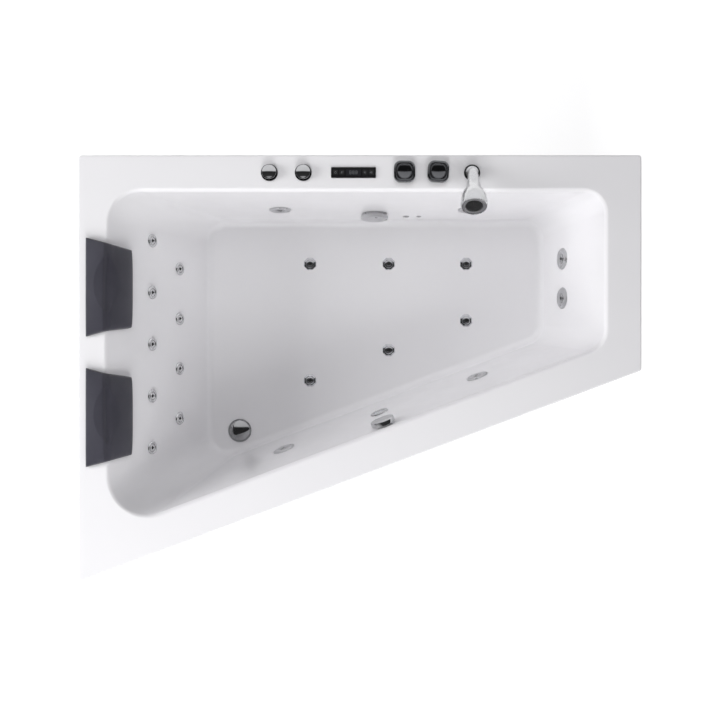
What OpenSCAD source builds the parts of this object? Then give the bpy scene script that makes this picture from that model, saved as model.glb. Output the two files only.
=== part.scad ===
// Jetted bathtub with one slanted long side, on a steel frame, with its pump, blower and pipework.
// X runs along the length, Y towards the deck with the taps, Z up from the floor it stands on.

/* [Bath] */
// Length of the straight back side
bath_l = 1700; // [1600:10:1800]
// Width of the head end, to its sharp corner
bath_w = 1290; // [1250:10:1350]
// Width of the foot end
foot_w = 650; // [600:10:700]
// Height of the deck above the floor of the room
bath_h = 600; // [580:5:650]
// Depth of the basin below the deck
basin_depth = 450; // [430:5:460]
// Thickness of the acrylic shell
shell_t = 6; // [5:0.5:8]
// Height of the turned-down edge of the deck
skirt_h = 35; // [25:1:45]
// Radius of the outer edge of the deck
edge_r = 6; // [3:0.5:8]
// Radius of the outer corners in plan
rim_corner_r = 10; // [8:1:14]

/* [Basin] */
// Deck width to the back wall
deck_back = 110; // [104:1:116]
// Deck width to the foot wall
deck_foot = 110; // [100:1:120]
// Deck width to the slanted front wall
deck_front = 110; // [104:1:116]
// Deck width to the backrest
deck_head = 93; // [85:1:100]
// Run of the back wall between deck and floor
run_back = 29; // [20:1:40]
// Run of the foot wall between deck and floor
run_foot = 110; // [90:1:130]
// Run of the slanted front wall between deck and floor
run_front = 66; // [56:1:76]
// Run of the backrest between deck and floor
run_head = 237; // [225:1:250]
// Corner radius between back and foot walls at the deck
corner_back_foot = 64; // [50:1:80]
// Corner radius between foot and front walls at the deck
corner_foot_front = 71; // [55:1:85]
// Corner radius between front wall and backrest at the deck
corner_front_head = 116; // [90:1:130]
// Corner radius between backrest and back wall at the deck
corner_head_back = 96; // [80:1:110]
// Corner radius of the walls at the floor
corner_floor = 72; // [60:1:85]
// Radius of the lip between deck and walls
lip_r = 14; // [10:1:18]
// Radius of the cove between walls and floor
cove_r = 28; // [22:1:34]
// Outward bow of the head lip at its middle
head_bow = 8; // [4:1:12]
// Depth over which the bow of the head lip fades out
head_bow_depth = 110; // [90:5:140]

/* [Frame] */
// Thickness of the board under the basin floor
board_t = 15; // [12:1:18]
// Outer size of the square steel tube
tube_s = 30; // [25:1:30]
// Wall of the square steel tube
tube_wall = 2; // [1.5:0.5:3]
// Distance of the perimeter tubes from the rim
rail_inset = 15; // [15:0.5:17]
// Radius of a foot pad
foot_r = 22; // [18:1:22]
// Height of a foot pad
foot_h = 10; // [8:1:11]
// Radius of the foot screws
foot_rod_r = 6; // [5:0.5:7]
// Across-corners radius of a foot nut
foot_nut_r = 10; // [9:0.5:12]
// Height of a foot nut
foot_nut_h = 10; // [8:1:12]
// Distance of the apron face from the rim
apron_inset = 9; // [8:0.5:9]
// Thickness of the apron panels
apron_t = 3; // [2:0.5:3]
// Height of the lower apron edge above the floor
apron_gap = 14; // [13:1:20]
// Width of the apron's lower fold
apron_fold = 10; // [8:1:11]
// Thickness of the board that carries pump and blower
tray_t = 12; // [10:1:14]

/* [Deck fittings] */
// Distance of the row of fittings from the rear edge
row_inset = 54; // [52:1:58]
// Place of the first air regulator along the deck
reg1_x = -272; // [-280:1:-265]
// Place of the second air regulator along the deck
reg2_x = -170; // [-178:1:-163]
// Place of the control panel along the deck
panel_x = -19; // [-25:1:-12]
// Place of the mixer knob along the deck
mixer_x = 134; // [128:1:138]
// Place of the diverter knob along the deck
diverter_x = 235; // [231:1:240]
// Place of the hand shower along the deck
shower_x = 338; // [334:1:345]
// Radius of a regulator flange
reg_r = 25.5; // [23:0.5:27]
// Height of a regulator flange
reg_h = 7; // [5:0.5:9]
// Radius of a regulator knob
reg_knob_r = 21.5; // [18:0.5:22]
// Height of a regulator knob
reg_knob_h = 15; // [12:1:20]
// Length of the control panel
panel_l = 135; // [130:1:140]
// Width of the control panel
panel_w = 32.5; // [32:0.5:36]
// Height of the control panel above the deck
panel_h = 5; // [4:0.5:6]
// Side of a square panel key
key_s = 15.5; // [14:0.5:16.5]
// Travel of a panel key
key_travel = 0.7; // [0.5:0.1:0.9]
// Side of a square tap knob
tap_s = 63; // [58:1:66]
// Corner radius of a tap knob
tap_corner_r = 16; // [12:1:20]
// Height of a tap knob
tap_h = 26; // [22:1:32]
// Radius of the dish in a tap knob
tap_dish_r = 21.5; // [18:0.5:24]
// Height of a tap base on the deck
tap_base_h = 4; // [3:0.5:6]
// Radius of the shower sleeve's ring
sleeve_r = 24.5; // [22:0.5:27]
// Height of the shower sleeve's ring
sleeve_h = 8; // [6:1:11]
// Radius of the hand shower's stem
stem_r = 12; // [10:0.5:13]
// Elevation of the hand shower's body above level
shower_rise = 30; // [24:1:36]
// Length of the hand shower's straight body
shower_l = 120; // [110:1:130]
// Largest radius of the hand shower's body
shower_head_r = 39.5; // [36:0.5:42]
// Radius of the hand shower's neck above its sleeve
shower_neck_r = 16; // [14:0.5:18]

/* [Jets] */
// Radius of a large jet face
jet_r = 35.5; // [33:0.5:38]
// Thickness of a large jet face
jet_t = 6; // [5:0.5:8]
// Radius of a large jet's neck through the wall
jet_neck_r = 26; // [25:0.5:28]
// Radius of a jet's eyeball
ball_r = 17; // [15:0.5:18]
// Radius of a large jet's body behind the wall
jet_body_r = 31; // [30:0.5:33]
// Length of a large jet's body behind the wall
jet_body_l = 76; // [74:1:78]
// Depth of the jets in the back wall
jet_depth_back = 255; // [245:1:265]
// Depth of the jets in the foot wall
jet_depth_foot = 290; // [280:1:300]
// Depth of the jets in the front wall
jet_depth_front = 235; // [225:1:245]
// Radius of a back jet face
micro_r = 21; // [18:0.5:23]
// Thickness of a back jet face
micro_t = 5; // [4:0.5:6]
// Radius of a back jet's neck through the wall
micro_neck_r = 10; // [9:0.5:11]
// Radius of a back jet's body behind the wall
micro_body_r = 14; // [13:0.5:15]
// Depth of the upper row of back jets
micro_depth_upper = 179; // [172:1:186]
// Depth of the lower row of back jets
micro_depth_lower = 303; // [296:1:310]
// Pitch of the back jets in a row
micro_pitch = 165; // [155:1:170]
// Distance of the back jet pipes behind the wall
micro_pipe_gap = 58; // [56:1:62]
// Radius of a floor jet face
floor_jet_r = 22; // [20:0.5:24]
// Thickness of a floor jet face
floor_jet_t = 5; // [4:0.5:6]
// Radius of a floor jet's neck through the floor
floor_neck_r = 10; // [9:0.5:11]
// Radius of a floor jet's body under the floor
floor_body_r = 15; // [14:0.5:17]

/* [Water and air] */
// Radius of the suction grille
suction_r = 45.5; // [43:0.5:48]
// Thickness of the suction grille at its middle
suction_t = 22; // [18:1:24]
// Depth of the suction fitting
suction_depth = 315; // [310:1:320]
// Place of the suction fitting along the back wall
suction_x = 49; // [40:1:58]
// Radius of the pressure pipe
pressure_r = 16; // [14:0.5:17]
// Height of the pressure pipe above the floor of the room
pressure_z = 215; // [212:1:218]
// Radius of the suction pipe
suction_pipe_r = 17; // [15:0.5:18]
// Radius of the venturi air pipe
air_r = 8; // [7:0.5:9]
// Height of the venturi air pipe above the floor of the room
air_z = 440; // [435:1:445]
// Radius of the pipe from the blower
blow_r = 12; // [11:0.5:13]
// Height of the blower pipe above the floor of the room
blow_z = 74; // [70:1:78]
// Radius of the pump's motor
motor_r = 58; // [54:1:59]
// Length of the pump's motor
motor_l = 210; // [190:5:230]
// Radius of the pump's volute
volute_r = 58; // [55:1:59]
// Length of the pump's volute
volute_l = 70; // [60:1:80]
// Radius of the blower
blower_r = 67; // [60:1:68]
// Height of the blower
blower_h = 112; // [100:1:125]

/* [Waste] */
// Place of the drain along the length
drain_x = -415; // [-420:1:-408]
// Place of the drain across the width
drain_y = -219; // [-222:1:-212]
// Radius of the drain flange
drain_r = 40; // [36:1:42]
// Radius of the drain plug
plug_r = 35; // [32:1:37]
// Lift of the drain plug
plug_lift = 8; // [6:1:10]
// Radius of the waste outlet's outer wall
waste_r = 20; // [18:0.5:21]
// Wall of the waste and tap connections
port_wall = 2; // [1.5:0.5:3]
// Depth of the overflow knob
overflow_depth = 48; // [44:1:52]
// Place of the overflow knob along the slanted side
overflow_u = 8; // [0:1:16]
// Radius of the overflow knob
overflow_r = 37.5; // [34:0.5:39]
// Length of the overflow knob
overflow_l = 16; // [14:1:20]
// Gap between the overflow knob and the wall
overflow_gap = 4; // [3:0.5:6]
// Radius of the overflow hose
hose_r = 12; // [10:0.5:13]
// Radius of the pop-up cable
cable_r = 3; // [2.5:0.5:4]

/* [Light and sensors] */
// Depth of the underwater light
light_depth = 245; // [238:1:252]
// Radius of the light's face
light_r = 30; // [28:0.5:32]
// Thickness of the light's face
light_t = 5; // [4:0.5:6]
// Radius of the light's lens
lens_r = 19; // [17:0.5:20]
// Depth of the level sensors
sensor_depth = 365; // [360:1:370]

/* [Headrests] */
// Length of a headrest on the deck
rest_l = 298; // [285:1:310]
// Length of a headrest at its lower edge
rest_low_l = 236; // [225:1:250]
// Thickness of a headrest at its middle
rest_t = 40; // [34:1:46]
// Thickness of a headrest at its edges
rest_edge_t = 14; // [10:1:18]
// Depth of the hollow for the neck
rest_dish = 12; // [8:1:16]
// Distance of a headrest from the head edge of the rim
rest_inset = 28; // [24:1:32]
// Depth that a headrest reaches below the deck
rest_reach = 85; // [78:1:92]
// Middle of the upper headrest across the width
rest_upper_y = 244; // [240:1:255]
// Middle of the lower headrest across the width
rest_lower_y = -148; // [-158:1:-143]

/* [Hidden] */
$fn = 48;

// Running gap between a moving piece and its seat
run_gap = 0.3;
// Gap around a fitting in its hole
fit_gap = 0.4;
// Overrun of every cut
cut = 2;
// Height of a tee's socket over its pipe
tee_h = 4;
// Wall of a ball elbow over its pipe
elbow_wall = 1.2;
// Thickness of a collar behind the wall
collar_t = 6;

// The four sides, in clockwise order
BACK = 0;
FOOT = 1;
FRONT = 2;
HEAD = 3;
slant = atan((bath_w - foot_w) / bath_l);
heading = [90, 0, slant - 90, -180, -270];
normals = [[0, 1], [1, 0], [sin(slant), -cos(slant)], [-1, 0]];
along = [[1, 0], [0, 1], [cos(slant), sin(slant)], [0, 1]];
// Distance of the back side from the middle, with the sharp corner rounded off
back_off = (bath_w - rim_corner_r * ((1 + sin(slant)) / cos(slant) - 1)) / 2;
front_off = -bath_l / 2 * sin(slant) + (bath_w - back_off) * cos(slant);
rim_off = [back_off, bath_l / 2, front_off, bath_l / 2];
deck_of = [deck_back, deck_foot, deck_front, deck_head];
wall_off = rim_off - deck_of;
run_of = [run_back, run_foot, run_front, run_head];
tilt = [for (run = run_of) atan(run / basin_depth)];
corner_top = [corner_back_foot, corner_foot_front, corner_front_head, corner_head_back];
arc_steps = 8;
bow_steps = 6;

// Heights of the layers under the basin
floor_z = bath_h - basin_depth;
board_top = floor_z - shell_t;
rail_top = board_top - board_t;
rail_bottom = rail_top - tube_s;
deck_under = bath_h - shell_t;
row_y = back_off - row_inset;

// Crossing of the lines of side i and the next side at their distances a and b
function crossing(i, a, b) =
  let (n = normals[i], m = normals[(i + 1) % 4], det = n.x * m.y - n.y * m.x)
  [(a * m.y - b * n.y) / det, (b * n.x - a * m.x) / det];

// One closed outline of the four sides with rounded corners, clockwise, at height z
function ring(offs, radii, z, bow) = [
  for (i = [0:3])
    let (j = (i + 1) % 4, r = radii[i], c = crossing(i, offs[i] - r, offs[j] - r))
    each concat(
      [for (k = [0:arc_steps])
        let (t = heading[i] + (heading[i + 1] - heading[i]) * k / arc_steps)
        [c.x + r * cos(t), c.y + r * sin(t), z]],
      i == 2 ? bow_points(offs, radii, z, bow) : [])];

// Points of the bowed head side between its two corners
function bow_points(offs, radii, z, bow) =
  let (y1 = crossing(2, offs[2] - radii[2], offs[3] - radii[2]).y,
     y2 = crossing(3, offs[3] - radii[3], offs[0] - radii[3]).y)
  [for (k = [1:bow_steps - 1])
    let (t = k / bow_steps)
    [-offs[3] - bow * (1 - pow(2 * t - 1, 2)), y1 + (y2 - y1) * t, z]];

// Outline of the basin where the wall slopes have reached depth share_d, moved inward
function basin_ring(share_d, z, inward) =
  let (share = share_d / basin_depth)
  ring([for (i = [0:3]) wall_off[i] - run_of[i] * share - inward],
     [for (i = [0:3]) corner_top[i] + (corner_floor - corner_top[i]) * share - inward],
     z, head_bow * pow(max(0, 1 - share_d / head_bow_depth), 2));

// Outline of the rim, moved inward
function rim_ring(inward, z) =
  ring([for (off = rim_off) off - inward], [for (i = [0:3]) rim_corner_r - inward], z, 0);

cove_angles = [0, 22.5, 45, 67.5, 90];
lip_angles = [0, 22.5, 45, 67.5, 90];
edge_angles = [90, 60, 30, 0];
wall_depths = [60, 100, 150];

// Rings of the shell's cove at radius r about its centre line
function cove_rings(r) = [for (a = cove_angles)
  basin_ring(basin_depth - cove_r, floor_z + cove_r - r * sin(a), cove_r - r * cos(a))];
// Rings of the shell's lip at radius r about its centre line
function lip_rings(r) = [for (a = lip_angles)
  basin_ring(lip_r, bath_h - lip_r + r * sin(a), r * cos(a) - lip_r)];
// Rings of the walls, moved inward
function wall_rings(inward) = [for (d = wall_depths) basin_ring(d, bath_h - d, inward)];
function reversed(list) = [for (i = [len(list) - 1:-1:0]) list[i]];

shell_rings = concat(
  reversed(cove_rings(cove_r)),
  reversed(wall_rings(0)),
  lip_rings(lip_r),
  reversed([for (a = edge_angles) rim_ring(edge_r * (1 - cos(a)), bath_h - edge_r * (1 - sin(a)))]),
  [rim_ring(0, bath_h - skirt_h), rim_ring(shell_t, bath_h - skirt_h), rim_ring(shell_t, deck_under)],
  reversed(lip_rings(lip_r - shell_t)),
  wall_rings(-shell_t),
  cove_rings(cove_r + shell_t));

// End face of a stack: one polygon, or strips between the two halves of the ring
function end_face(m, strips) = !strips ? [[for (i = [0:m - 1]) i]] :
  [for (i = [0:m / 2 - 2]) each [[i, i + 1, m - 1 - i], [i + 1, m - 2 - i, m - 1 - i]]];

// A closed solid through rings of equally many points
module stack(rings, strips = false) {
  m = len(rings[0]);
  n = len(rings);
  quads = [for (k = [0:n - 2], i = [0:m - 1])
    let (a = k * m + i, b = k * m + (i + 1) % m)
    each [[a, a + m, b + m], [a, b + m, b]]];
  first = end_face(m, strips);
  last = [for (one = first) [for (i = reversed(one)) (n - 1) * m + i]];
  polyhedron([for (one = rings) each one], concat(first, quads, last), convexity = 10);
}

// Distance of a wall from the middle at a depth
function wall_at(side, depth) = wall_off[side] - run_of[side] * depth / basin_depth;
// Point at a distance behind a wall, u along it and depth down it
function behind(side, u, depth, gap) =
  let (p = normals[side] * (wall_at(side, depth) + gap * cos(tilt[side])) + along[side] * u)
  [p.x, p.y, bath_h - depth - gap * sin(tilt[side])];
// Moves children onto a wall: local Z points into the basin and local X down the wall
module on_wall(side, u, depth) {
  translate(behind(side, u, depth, 0))
    rotate([0, 90 - tilt[side], heading[side] + 180])
      children();
}
// Moves children to a place along a side at a distance from the rim
module on_side(side, u, inset) {
  translate(normals[side] * (rim_off[side] - inset) + along[side] * u)
    rotate(heading[side])
      children();
}

// Strip along one side between two distances from the rim, its mitred ends drawn in by trim
function strip(side, inner, outer, trim = 0) =
  let (prev = (side + 3) % 4, next = (side + 1) % 4)
  [crossing(prev, rim_off[prev] - outer - trim, rim_off[side] - outer),
   crossing(side, rim_off[side] - outer, rim_off[next] - outer - trim),
   crossing(side, rim_off[side] - inner, rim_off[next] - inner - trim),
   crossing(prev, rim_off[prev] - inner - trim, rim_off[side] - inner)];

// Round disc or bar upwards from height z
module disc(z, r, h) {
  translate([0, 0, z])
    cylinder(r = r, h = h);
}
// Six-sided nut upwards from height z
module hexagon(z, r, h) {
  translate([0, 0, z])
    cylinder(r = r, h = h, $fn = 6);
}
// Upright round bar from point p
module peg(p, r, h) {
  translate(p)
    cylinder(r = r, h = h);
}
// Outline shares scaled to a radius and a length
function scaled(shares, r, l) = [for (p = shares) [p[0] * r, p[1] * l]];

// Straight round bar between two points
module rod(a, b, r) {
  v = b - a;
  l = norm(v);
  translate(a)
    rotate([0, acos(v.z / l), atan2(v.y, v.x)])
      cylinder(r = r, h = l);
}
// Pipe with ball elbows through a list of points
module pipe_path(points, r) {
  for (i = [0:len(points) - 2])
    rod(points[i], points[i + 1], r);
  if (len(points) > 2)
    for (i = [1:len(points) - 2])
      elbow_ball(points[i], r);
}
// Ball elbow or end cap over a pipe
module elbow_ball(p, r) {
  translate(p)
    sphere(r = r + elbow_wall);
}
// Block with four rounded upright edges, centred on X and Y
module rounded_block(l, w, h, r) {
  translate([-l / 2 + r, -w / 2, 0])
    cube([l - 2 * r, w, h]);
  translate([-l / 2, -w / 2 + r, 0])
    cube([l, w - 2 * r, h]);
  for (x = [-1, 1], y = [-1, 1])
    peg([x * (l / 2 - r), y * (w / 2 - r), 0], r, h);
}

// Places of the large jets: side, place along it, depth
jet_u_back_1 = -260;
jet_u_back_2 = 356;
jet_u_front_1 = -324;
jet_u_front_2 = 346;
jet_u_foot_1 = 359;
jet_u_foot_2 = 229;
jets = [[BACK, jet_u_back_1, jet_depth_back], [BACK, jet_u_back_2, jet_depth_back],
    [FOOT, jet_u_foot_1, jet_depth_foot], [FOOT, jet_u_foot_2, jet_depth_foot],
    [FRONT, jet_u_front_2, jet_depth_front], [FRONT, jet_u_front_1, jet_depth_front]];
// Distance of the pipes behind the wall at a large jet
jet_pipe_gap = jet_body_l - jet_body_l / 5;
// Places of the back jets: place along the wall, depth
micro_upper_y = 75;
micro_lower_y = 79;
back_jets = concat(
  [for (k = [-2:2]) [micro_upper_y + k * micro_pitch, micro_depth_upper]],
  [for (k = [-1.5:1:1.5]) [micro_lower_y + k * micro_pitch, micro_depth_lower]]);
// Places of the floor jets
floor_x1 = -172;
floor_x2 = 100;
floor_x3 = 368;
floor_y_back = 357;
floor_y1 = -46;
floor_y2 = 59;
floor_y3 = 161;
floor_jets = [[floor_x1, floor_y_back], [floor_x2, floor_y_back], [floor_x3, floor_y_back],
       [floor_x3, floor_y3], [floor_x2, floor_y2], [floor_x1, floor_y1]];
// Places of the level sensors along the back wall, and the radius of each
sensor_x1 = 156;
sensor_r1 = 11;
sensor_x2 = 199;
sensor_r2 = 8.5;
sensors = [[sensor_x1, sensor_r1], [sensor_x2, sensor_r2]];
sensor_t = 3;
sensor_stud_r = 5;
sensor_stud_l = 22;

// Places of the large jets' connections
jet_taps = [for (jet = jets) behind(jet[0], jet[1], jet[2], jet_pipe_gap)];

// Distances of the ring of pipes from the middle on three sides
ring_off = [for (side = [BACK, FOOT, FRONT])
  let (d = [jet_depth_back, jet_depth_foot, jet_depth_front][side])
  wall_at(side, d) + jet_pipe_gap * cos(tilt[side])];
head_pipe_x = behind(HEAD, 0, micro_depth_lower, micro_pipe_gap).x;
pipe_corners = [crossing(0, ring_off[0], ring_off[1]), crossing(1, ring_off[1], ring_off[2]),
        crossing(2, ring_off[2], -head_pipe_x), crossing(3, -head_pipe_x, ring_off[0])];

// Radii of the holes in the shell
reg_hole_r = 16;
tap_hole_r = 18;
sleeve_hole_r = 17;
suction_neck_r = 38;
overflow_neck_r = 24;
light_neck_r = 22;
drain_neck_r = 26;
// Flange of the panel around the box below it
panel_flange = 4;
panel_box_l = panel_l - 4 * panel_flange;
panel_box_w = panel_w - 2 * panel_flange;
panel_box_h = 42;

// Acrylic shell: basin, lip, deck and turned-down edge, with all its holes
module tub_shell() {
  color("white") difference() {
    stack(shell_rings);
    for (x = [reg1_x, reg2_x])
      deck_hole(x, reg_hole_r);
    for (x = [mixer_x, diverter_x])
      deck_hole(x, tap_hole_r);
    deck_hole(shower_x, sleeve_hole_r);
    translate([panel_x, row_y, deck_under - cut])
      rounded_block(panel_box_l + 2 * fit_gap, panel_box_w + 2 * fit_gap,
        shell_t + 2 * cut, cut);
    for (jet = jets)
      wall_hole(jet[0], jet[1], jet[2], jet_neck_r);
    for (jet = back_jets)
      wall_hole(HEAD, jet[0], jet[1], micro_neck_r);
    for (place = floor_jets)
      floor_hole(place.x, place.y, floor_neck_r, shell_t);
    floor_hole(drain_x, drain_y, drain_neck_r, shell_t);
    wall_hole(BACK, suction_x, suction_depth, suction_neck_r);
    for (sensor = sensors)
      wall_hole(BACK, sensor[0], sensor_depth, sensor_stud_r);
    wall_hole(FRONT, overflow_u, overflow_depth, overflow_neck_r);
    wall_hole(FRONT, overflow_u, light_depth, light_neck_r);
  }
}
// Hole through the deck for a neck of radius r
module deck_hole(x, r) {
  peg([x, row_y, deck_under - cut], r, shell_t + 2 * cut);
}
// Hole through a wall for a neck of radius r
module wall_hole(side, u, depth, r) {
  on_wall(side, u, depth)
    disc(-2 * shell_t, r + fit_gap, 4 * shell_t);
}
// Hole down from the floor for a neck of radius r, through a thickness t
module floor_hole(x, y, r, t) {
  peg([x, y, floor_z - t - cut], r + fit_gap, t + 2 * cut);
}

// Board bonded under the basin floor
board_gap = 3;
module base_board() {
  outline = [for (p = basin_ring(basin_depth - cove_r, 0, cove_r + board_gap)) [p.x, p.y]];
  color("burlywood") difference() {
    translate([0, 0, rail_top])
      linear_extrude(board_t)
        polygon(outline);
    for (place = floor_jets)
      floor_hole(place.x, place.y, floor_body_r, shell_t + board_t);
    floor_hole(drain_x, drain_y, drain_neck_r, shell_t + board_t);
  }
}

// Places of the cross tubes along the length
cross_x1 = -495;
cross_x2 = -35;
cross_x3 = 235;
cross_x4 = 520;
cross_tubes = [cross_x1, cross_x2, cross_x3, cross_x4];
// Distance of a corner post from the slanted side
slant_post_inset = rail_inset + tube_s * 0.7;
// Places of the posts between the corners
post_back_1 = -480;
post_back_2 = 520;
post_front_1 = -560;
post_front_2 = 180;
post_head = -30;
rail_mid = rail_inset + tube_s / 2;
corner_insets = rim_off - [rail_mid, rail_mid, slant_post_inset, rail_mid];
corner_places = [for (i = [0:3]) crossing(i, corner_insets[i], corner_insets[(i + 1) % 4])];

// Outline of the rails at a distance from the rim
function rail_outline(inset) = [for (i = [0:3]) crossing(i, rim_off[i] - inset, rim_off[(i + 1) % 4] - inset)];
// Welded frame of square tube: perimeter, cross tubes and posts up to the deck
module steel_frame() {
  color("silver") {
    difference() {
      perimeter(0);
      perimeter(tube_wall);
    }
    for (x = cross_tubes)
      difference() {
        cross_tube(x, 0);
        cross_tube(x, tube_wall);
      }
    for (x = [post_back_1, post_back_2])
      on_side(BACK, x, rail_mid)
        post();
    for (u = [post_front_1, post_front_2])
      on_side(FRONT, u, rail_mid)
        post();
    on_side(HEAD, post_head, rail_mid)
      post();
    for (corner = corner_places)
      translate(corner)
        post();
  }
}
// Closed ring of perimeter tube, drawn in all round by thin
module perimeter(thin) {
  translate([0, 0, rail_bottom + thin])
    linear_extrude(tube_s - 2 * thin)
      difference() {
        polygon(rail_outline(rail_inset + thin));
        polygon(rail_outline(rail_inset + tube_s - thin));
      }
}
// Cross tube from the back rail to the slanted rail, drawn in by thin, its ends set in their walls
module cross_tube(x, thin) {
  half = tube_s / 2 - thin;
  seat = rail_inset + tube_s - tube_wall / 2;
  y_back = back_off - seat;
  inner = rim_off[FRONT] - seat;
  ends = [for (px = [x - half, x + half]) [px, (normals[FRONT].x * px - inner) / -normals[FRONT].y]];
  translate([0, 0, rail_bottom + thin])
    linear_extrude(tube_s - 2 * thin)
      polygon([[x - half, y_back], [x + half, y_back], ends[1], ends[0]]);
}
// Square post set in the rails' upper wall, up to the deck
module post() {
  s = tube_s - 2 * tube_wall - cut;
  translate([0, 0, rail_top - tube_wall / 2])
    linear_extrude(deck_under - rail_top + tube_wall / 2)
      difference() {
        square(s, center = true);
        square(s - 2 * tube_wall, center = true);
      }
}

// Places of the feet under the cross tubes
foot_y1 = 120;
foot_y2 = 270;
foot_y4 = 300;
foot_front_1 = -380;
foot_front_2 = 420;
foot_back = 20;
// Screwed feet under the perimeter and the cross tubes
module levelling_feet() {
  color("dimgray") {
    for (corner = corner_places)
      translate(corner)
        foot();
    on_side(BACK, foot_back, rail_mid)
      foot();
    for (u = [foot_front_1, foot_front_2])
      on_side(FRONT, u, rail_mid)
        foot();
    for (place = [[cross_x1, foot_y1], [cross_x2, foot_y2], [cross_x4, foot_y4]])
      translate(place)
        foot();
  }
}
// One foot: pad, screw and nut
module foot() {
  cylinder(r = foot_r, h = foot_h * 0.6);
  disc(foot_h * 0.6, foot_r * 0.7, foot_h * 0.4);
  cylinder(r = foot_rod_r, h = rail_bottom);
  hexagon(rail_bottom - foot_nut_h, foot_nut_r, foot_nut_h);
}

// Board on the head rail and first cross tube that carries pump, blower and control box
tray_y1 = -400;
tray_y2 = 560;
tray_edge = 5;
module equipment_tray() {
  x1 = -bath_l / 2 + rail_inset + tray_edge;
  x2 = cross_x1 - 2 * tray_edge;
  color("burlywood") difference() {
    translate([x1, tray_y1, rail_top])
      cube([x2 - x1, tray_y2 - tray_y1, tray_t]);
    on_side(HEAD, post_head, rail_mid)
      translate([-tube_s / 2 - cut / 2, -tube_s / 2 - cut / 2, rail_top - cut])
        cube([tube_s + cut + tray_edge, tube_s + cut, tray_t + 2 * cut]);
    peg([blow_drop_x, blower_y, rail_top - cut], blow_r + cut, tray_t + 2 * cut);
  }
}

// Thin panel under the rim of one side, folded in at its lower edge
module apron(side) {
  translate([0, 0, apron_gap])
    linear_extrude(deck_under - apron_gap)
      polygon(strip(side, apron_inset, apron_inset + apron_t));
  translate([0, 0, apron_gap])
    linear_extrude(apron_t)
      polygon(strip(side, apron_inset + apron_t / 2, apron_inset + apron_t + apron_fold, apron_t));
}
// Panel of the slanted front side
module front_apron() {
  color("white")
    apron(FRONT);
}
// Panel of the foot end
module end_apron() {
  color("white")
    apron(FOOT);
}

// Places of the clips along two sides
clip_front = [-640, -210, 210, 640];
clip_foot = [120, 330, 540];
clip_w = 36;
// Clips between the aprons and the rails, each with its screw head
module apron_clips() {
  color("gray") {
    for (u = clip_front)
      on_side(FRONT, u, rail_inset)
        clip();
    for (u = clip_foot)
      on_side(FOOT, u, rail_inset)
        clip();
  }
}
// One clip filling the gap between apron and rail
module clip() {
  gap = rail_inset - apron_inset - apron_t;
  translate([0, -clip_w / 2, rail_bottom + tube_wall])
    cube([gap, clip_w, tube_s - 2 * tube_wall]);
}

// Depth of a key pocket in the panel
key_h = 2.6;
key_pitch = 19.5;
key_first = 34.7;
key_r = 2;
key_places = [-key_first - key_pitch, -key_first, key_first, key_first + key_pitch];
window_l = 46;
window_w = 19;
window_t = 1.5;
panel_r = 2;
// Control panel: gloss bezel on the deck and a box below it, with pockets for keys and window
module panel_housing() {
  color("black")
    translate([panel_x, row_y, 0])
      difference() {
        union() {
          translate([0, 0, bath_h])
            rounded_block(panel_l, panel_w, panel_h, panel_r);
          translate([0, 0, bath_h - panel_box_h])
            rounded_block(panel_box_l, panel_box_w, panel_box_h, panel_r);
        }
        for (x = key_places)
          translate([x, 0, bath_h + panel_h - key_h - key_travel])
            rounded_block(key_s + 2 * run_gap, key_s + 2 * run_gap, key_h + cut, key_r + run_gap);
        translate([0, 0, bath_h + panel_h - window_t])
          rounded_block(window_l, window_w, window_t + cut, key_r);
      }
}
// Clear window over the display
module panel_window() {
  color("darkslategray")
    translate([panel_x, row_y, bath_h + panel_h - window_t])
      rounded_block(window_l, window_w, window_t, key_r);
}
// Key number i of the panel
module panel_key(i) {
  color("dimgray")
    translate([panel_x + key_places[i], row_y, bath_h + panel_h - key_h + run_gap])
      rounded_block(key_s, key_s, key_h, key_r);
}
module panel_key_1() panel_key(0);
module panel_key_2() panel_key(1);
module panel_key_3() panel_key(2);
module panel_key_4() panel_key(3);

// Length of a regulator body below the deck
reg_body_l = 76;
reg_stem_r = 6;
reg_stem_l = 20;
reg_nut_r = 23;
reg_nut_h = 10;
// Two air regulators: dark flange on the deck, threaded body and nut below it
module regulator_bodies() {
  color("darkslategray")
    for (x = [reg1_x, reg2_x])
      translate([x, row_y, bath_h])
        difference() {
          union() {
            cylinder(r = reg_r, h = reg_h);
            disc(-reg_body_l, reg_hole_r - fit_gap, reg_body_l);
            hexagon(-shell_t - reg_nut_h, reg_nut_r, reg_nut_h);
          }
          disc(reg_h - reg_stem_l - run_gap, reg_stem_r + run_gap, reg_stem_l + run_gap + cut);
          disc(-reg_body_l - cut, reg_stem_r, reg_body_l - reg_stem_l - cut);
        }
}
// Domed knob of a regulator on its stem
module air_knob(x) {
  dome_rise = reg_knob_h * 0.35;
  dome_r = (reg_knob_r * reg_knob_r + dome_rise * dome_rise) / (2 * dome_rise);
  color("silver")
    translate([x, row_y, bath_h + reg_h + run_gap]) {
      intersection() {
        cylinder(r = reg_knob_r, h = reg_knob_h);
        translate([0, 0, reg_knob_h - dome_r])
          sphere(r = dome_r);
      }
      disc(-reg_stem_l, reg_stem_r, reg_stem_l);
    }
}
module air_knob_1() air_knob(reg1_x);
module air_knob_2() air_knob(reg2_x);

tap_stem_r = 7;
tap_stem_l = 18;
tap_body_r = 20;
tap_body_l = 80;
tap_inlet_r = 8;
tap_inlet_l = 24;
tap_link_r = 7;
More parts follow.
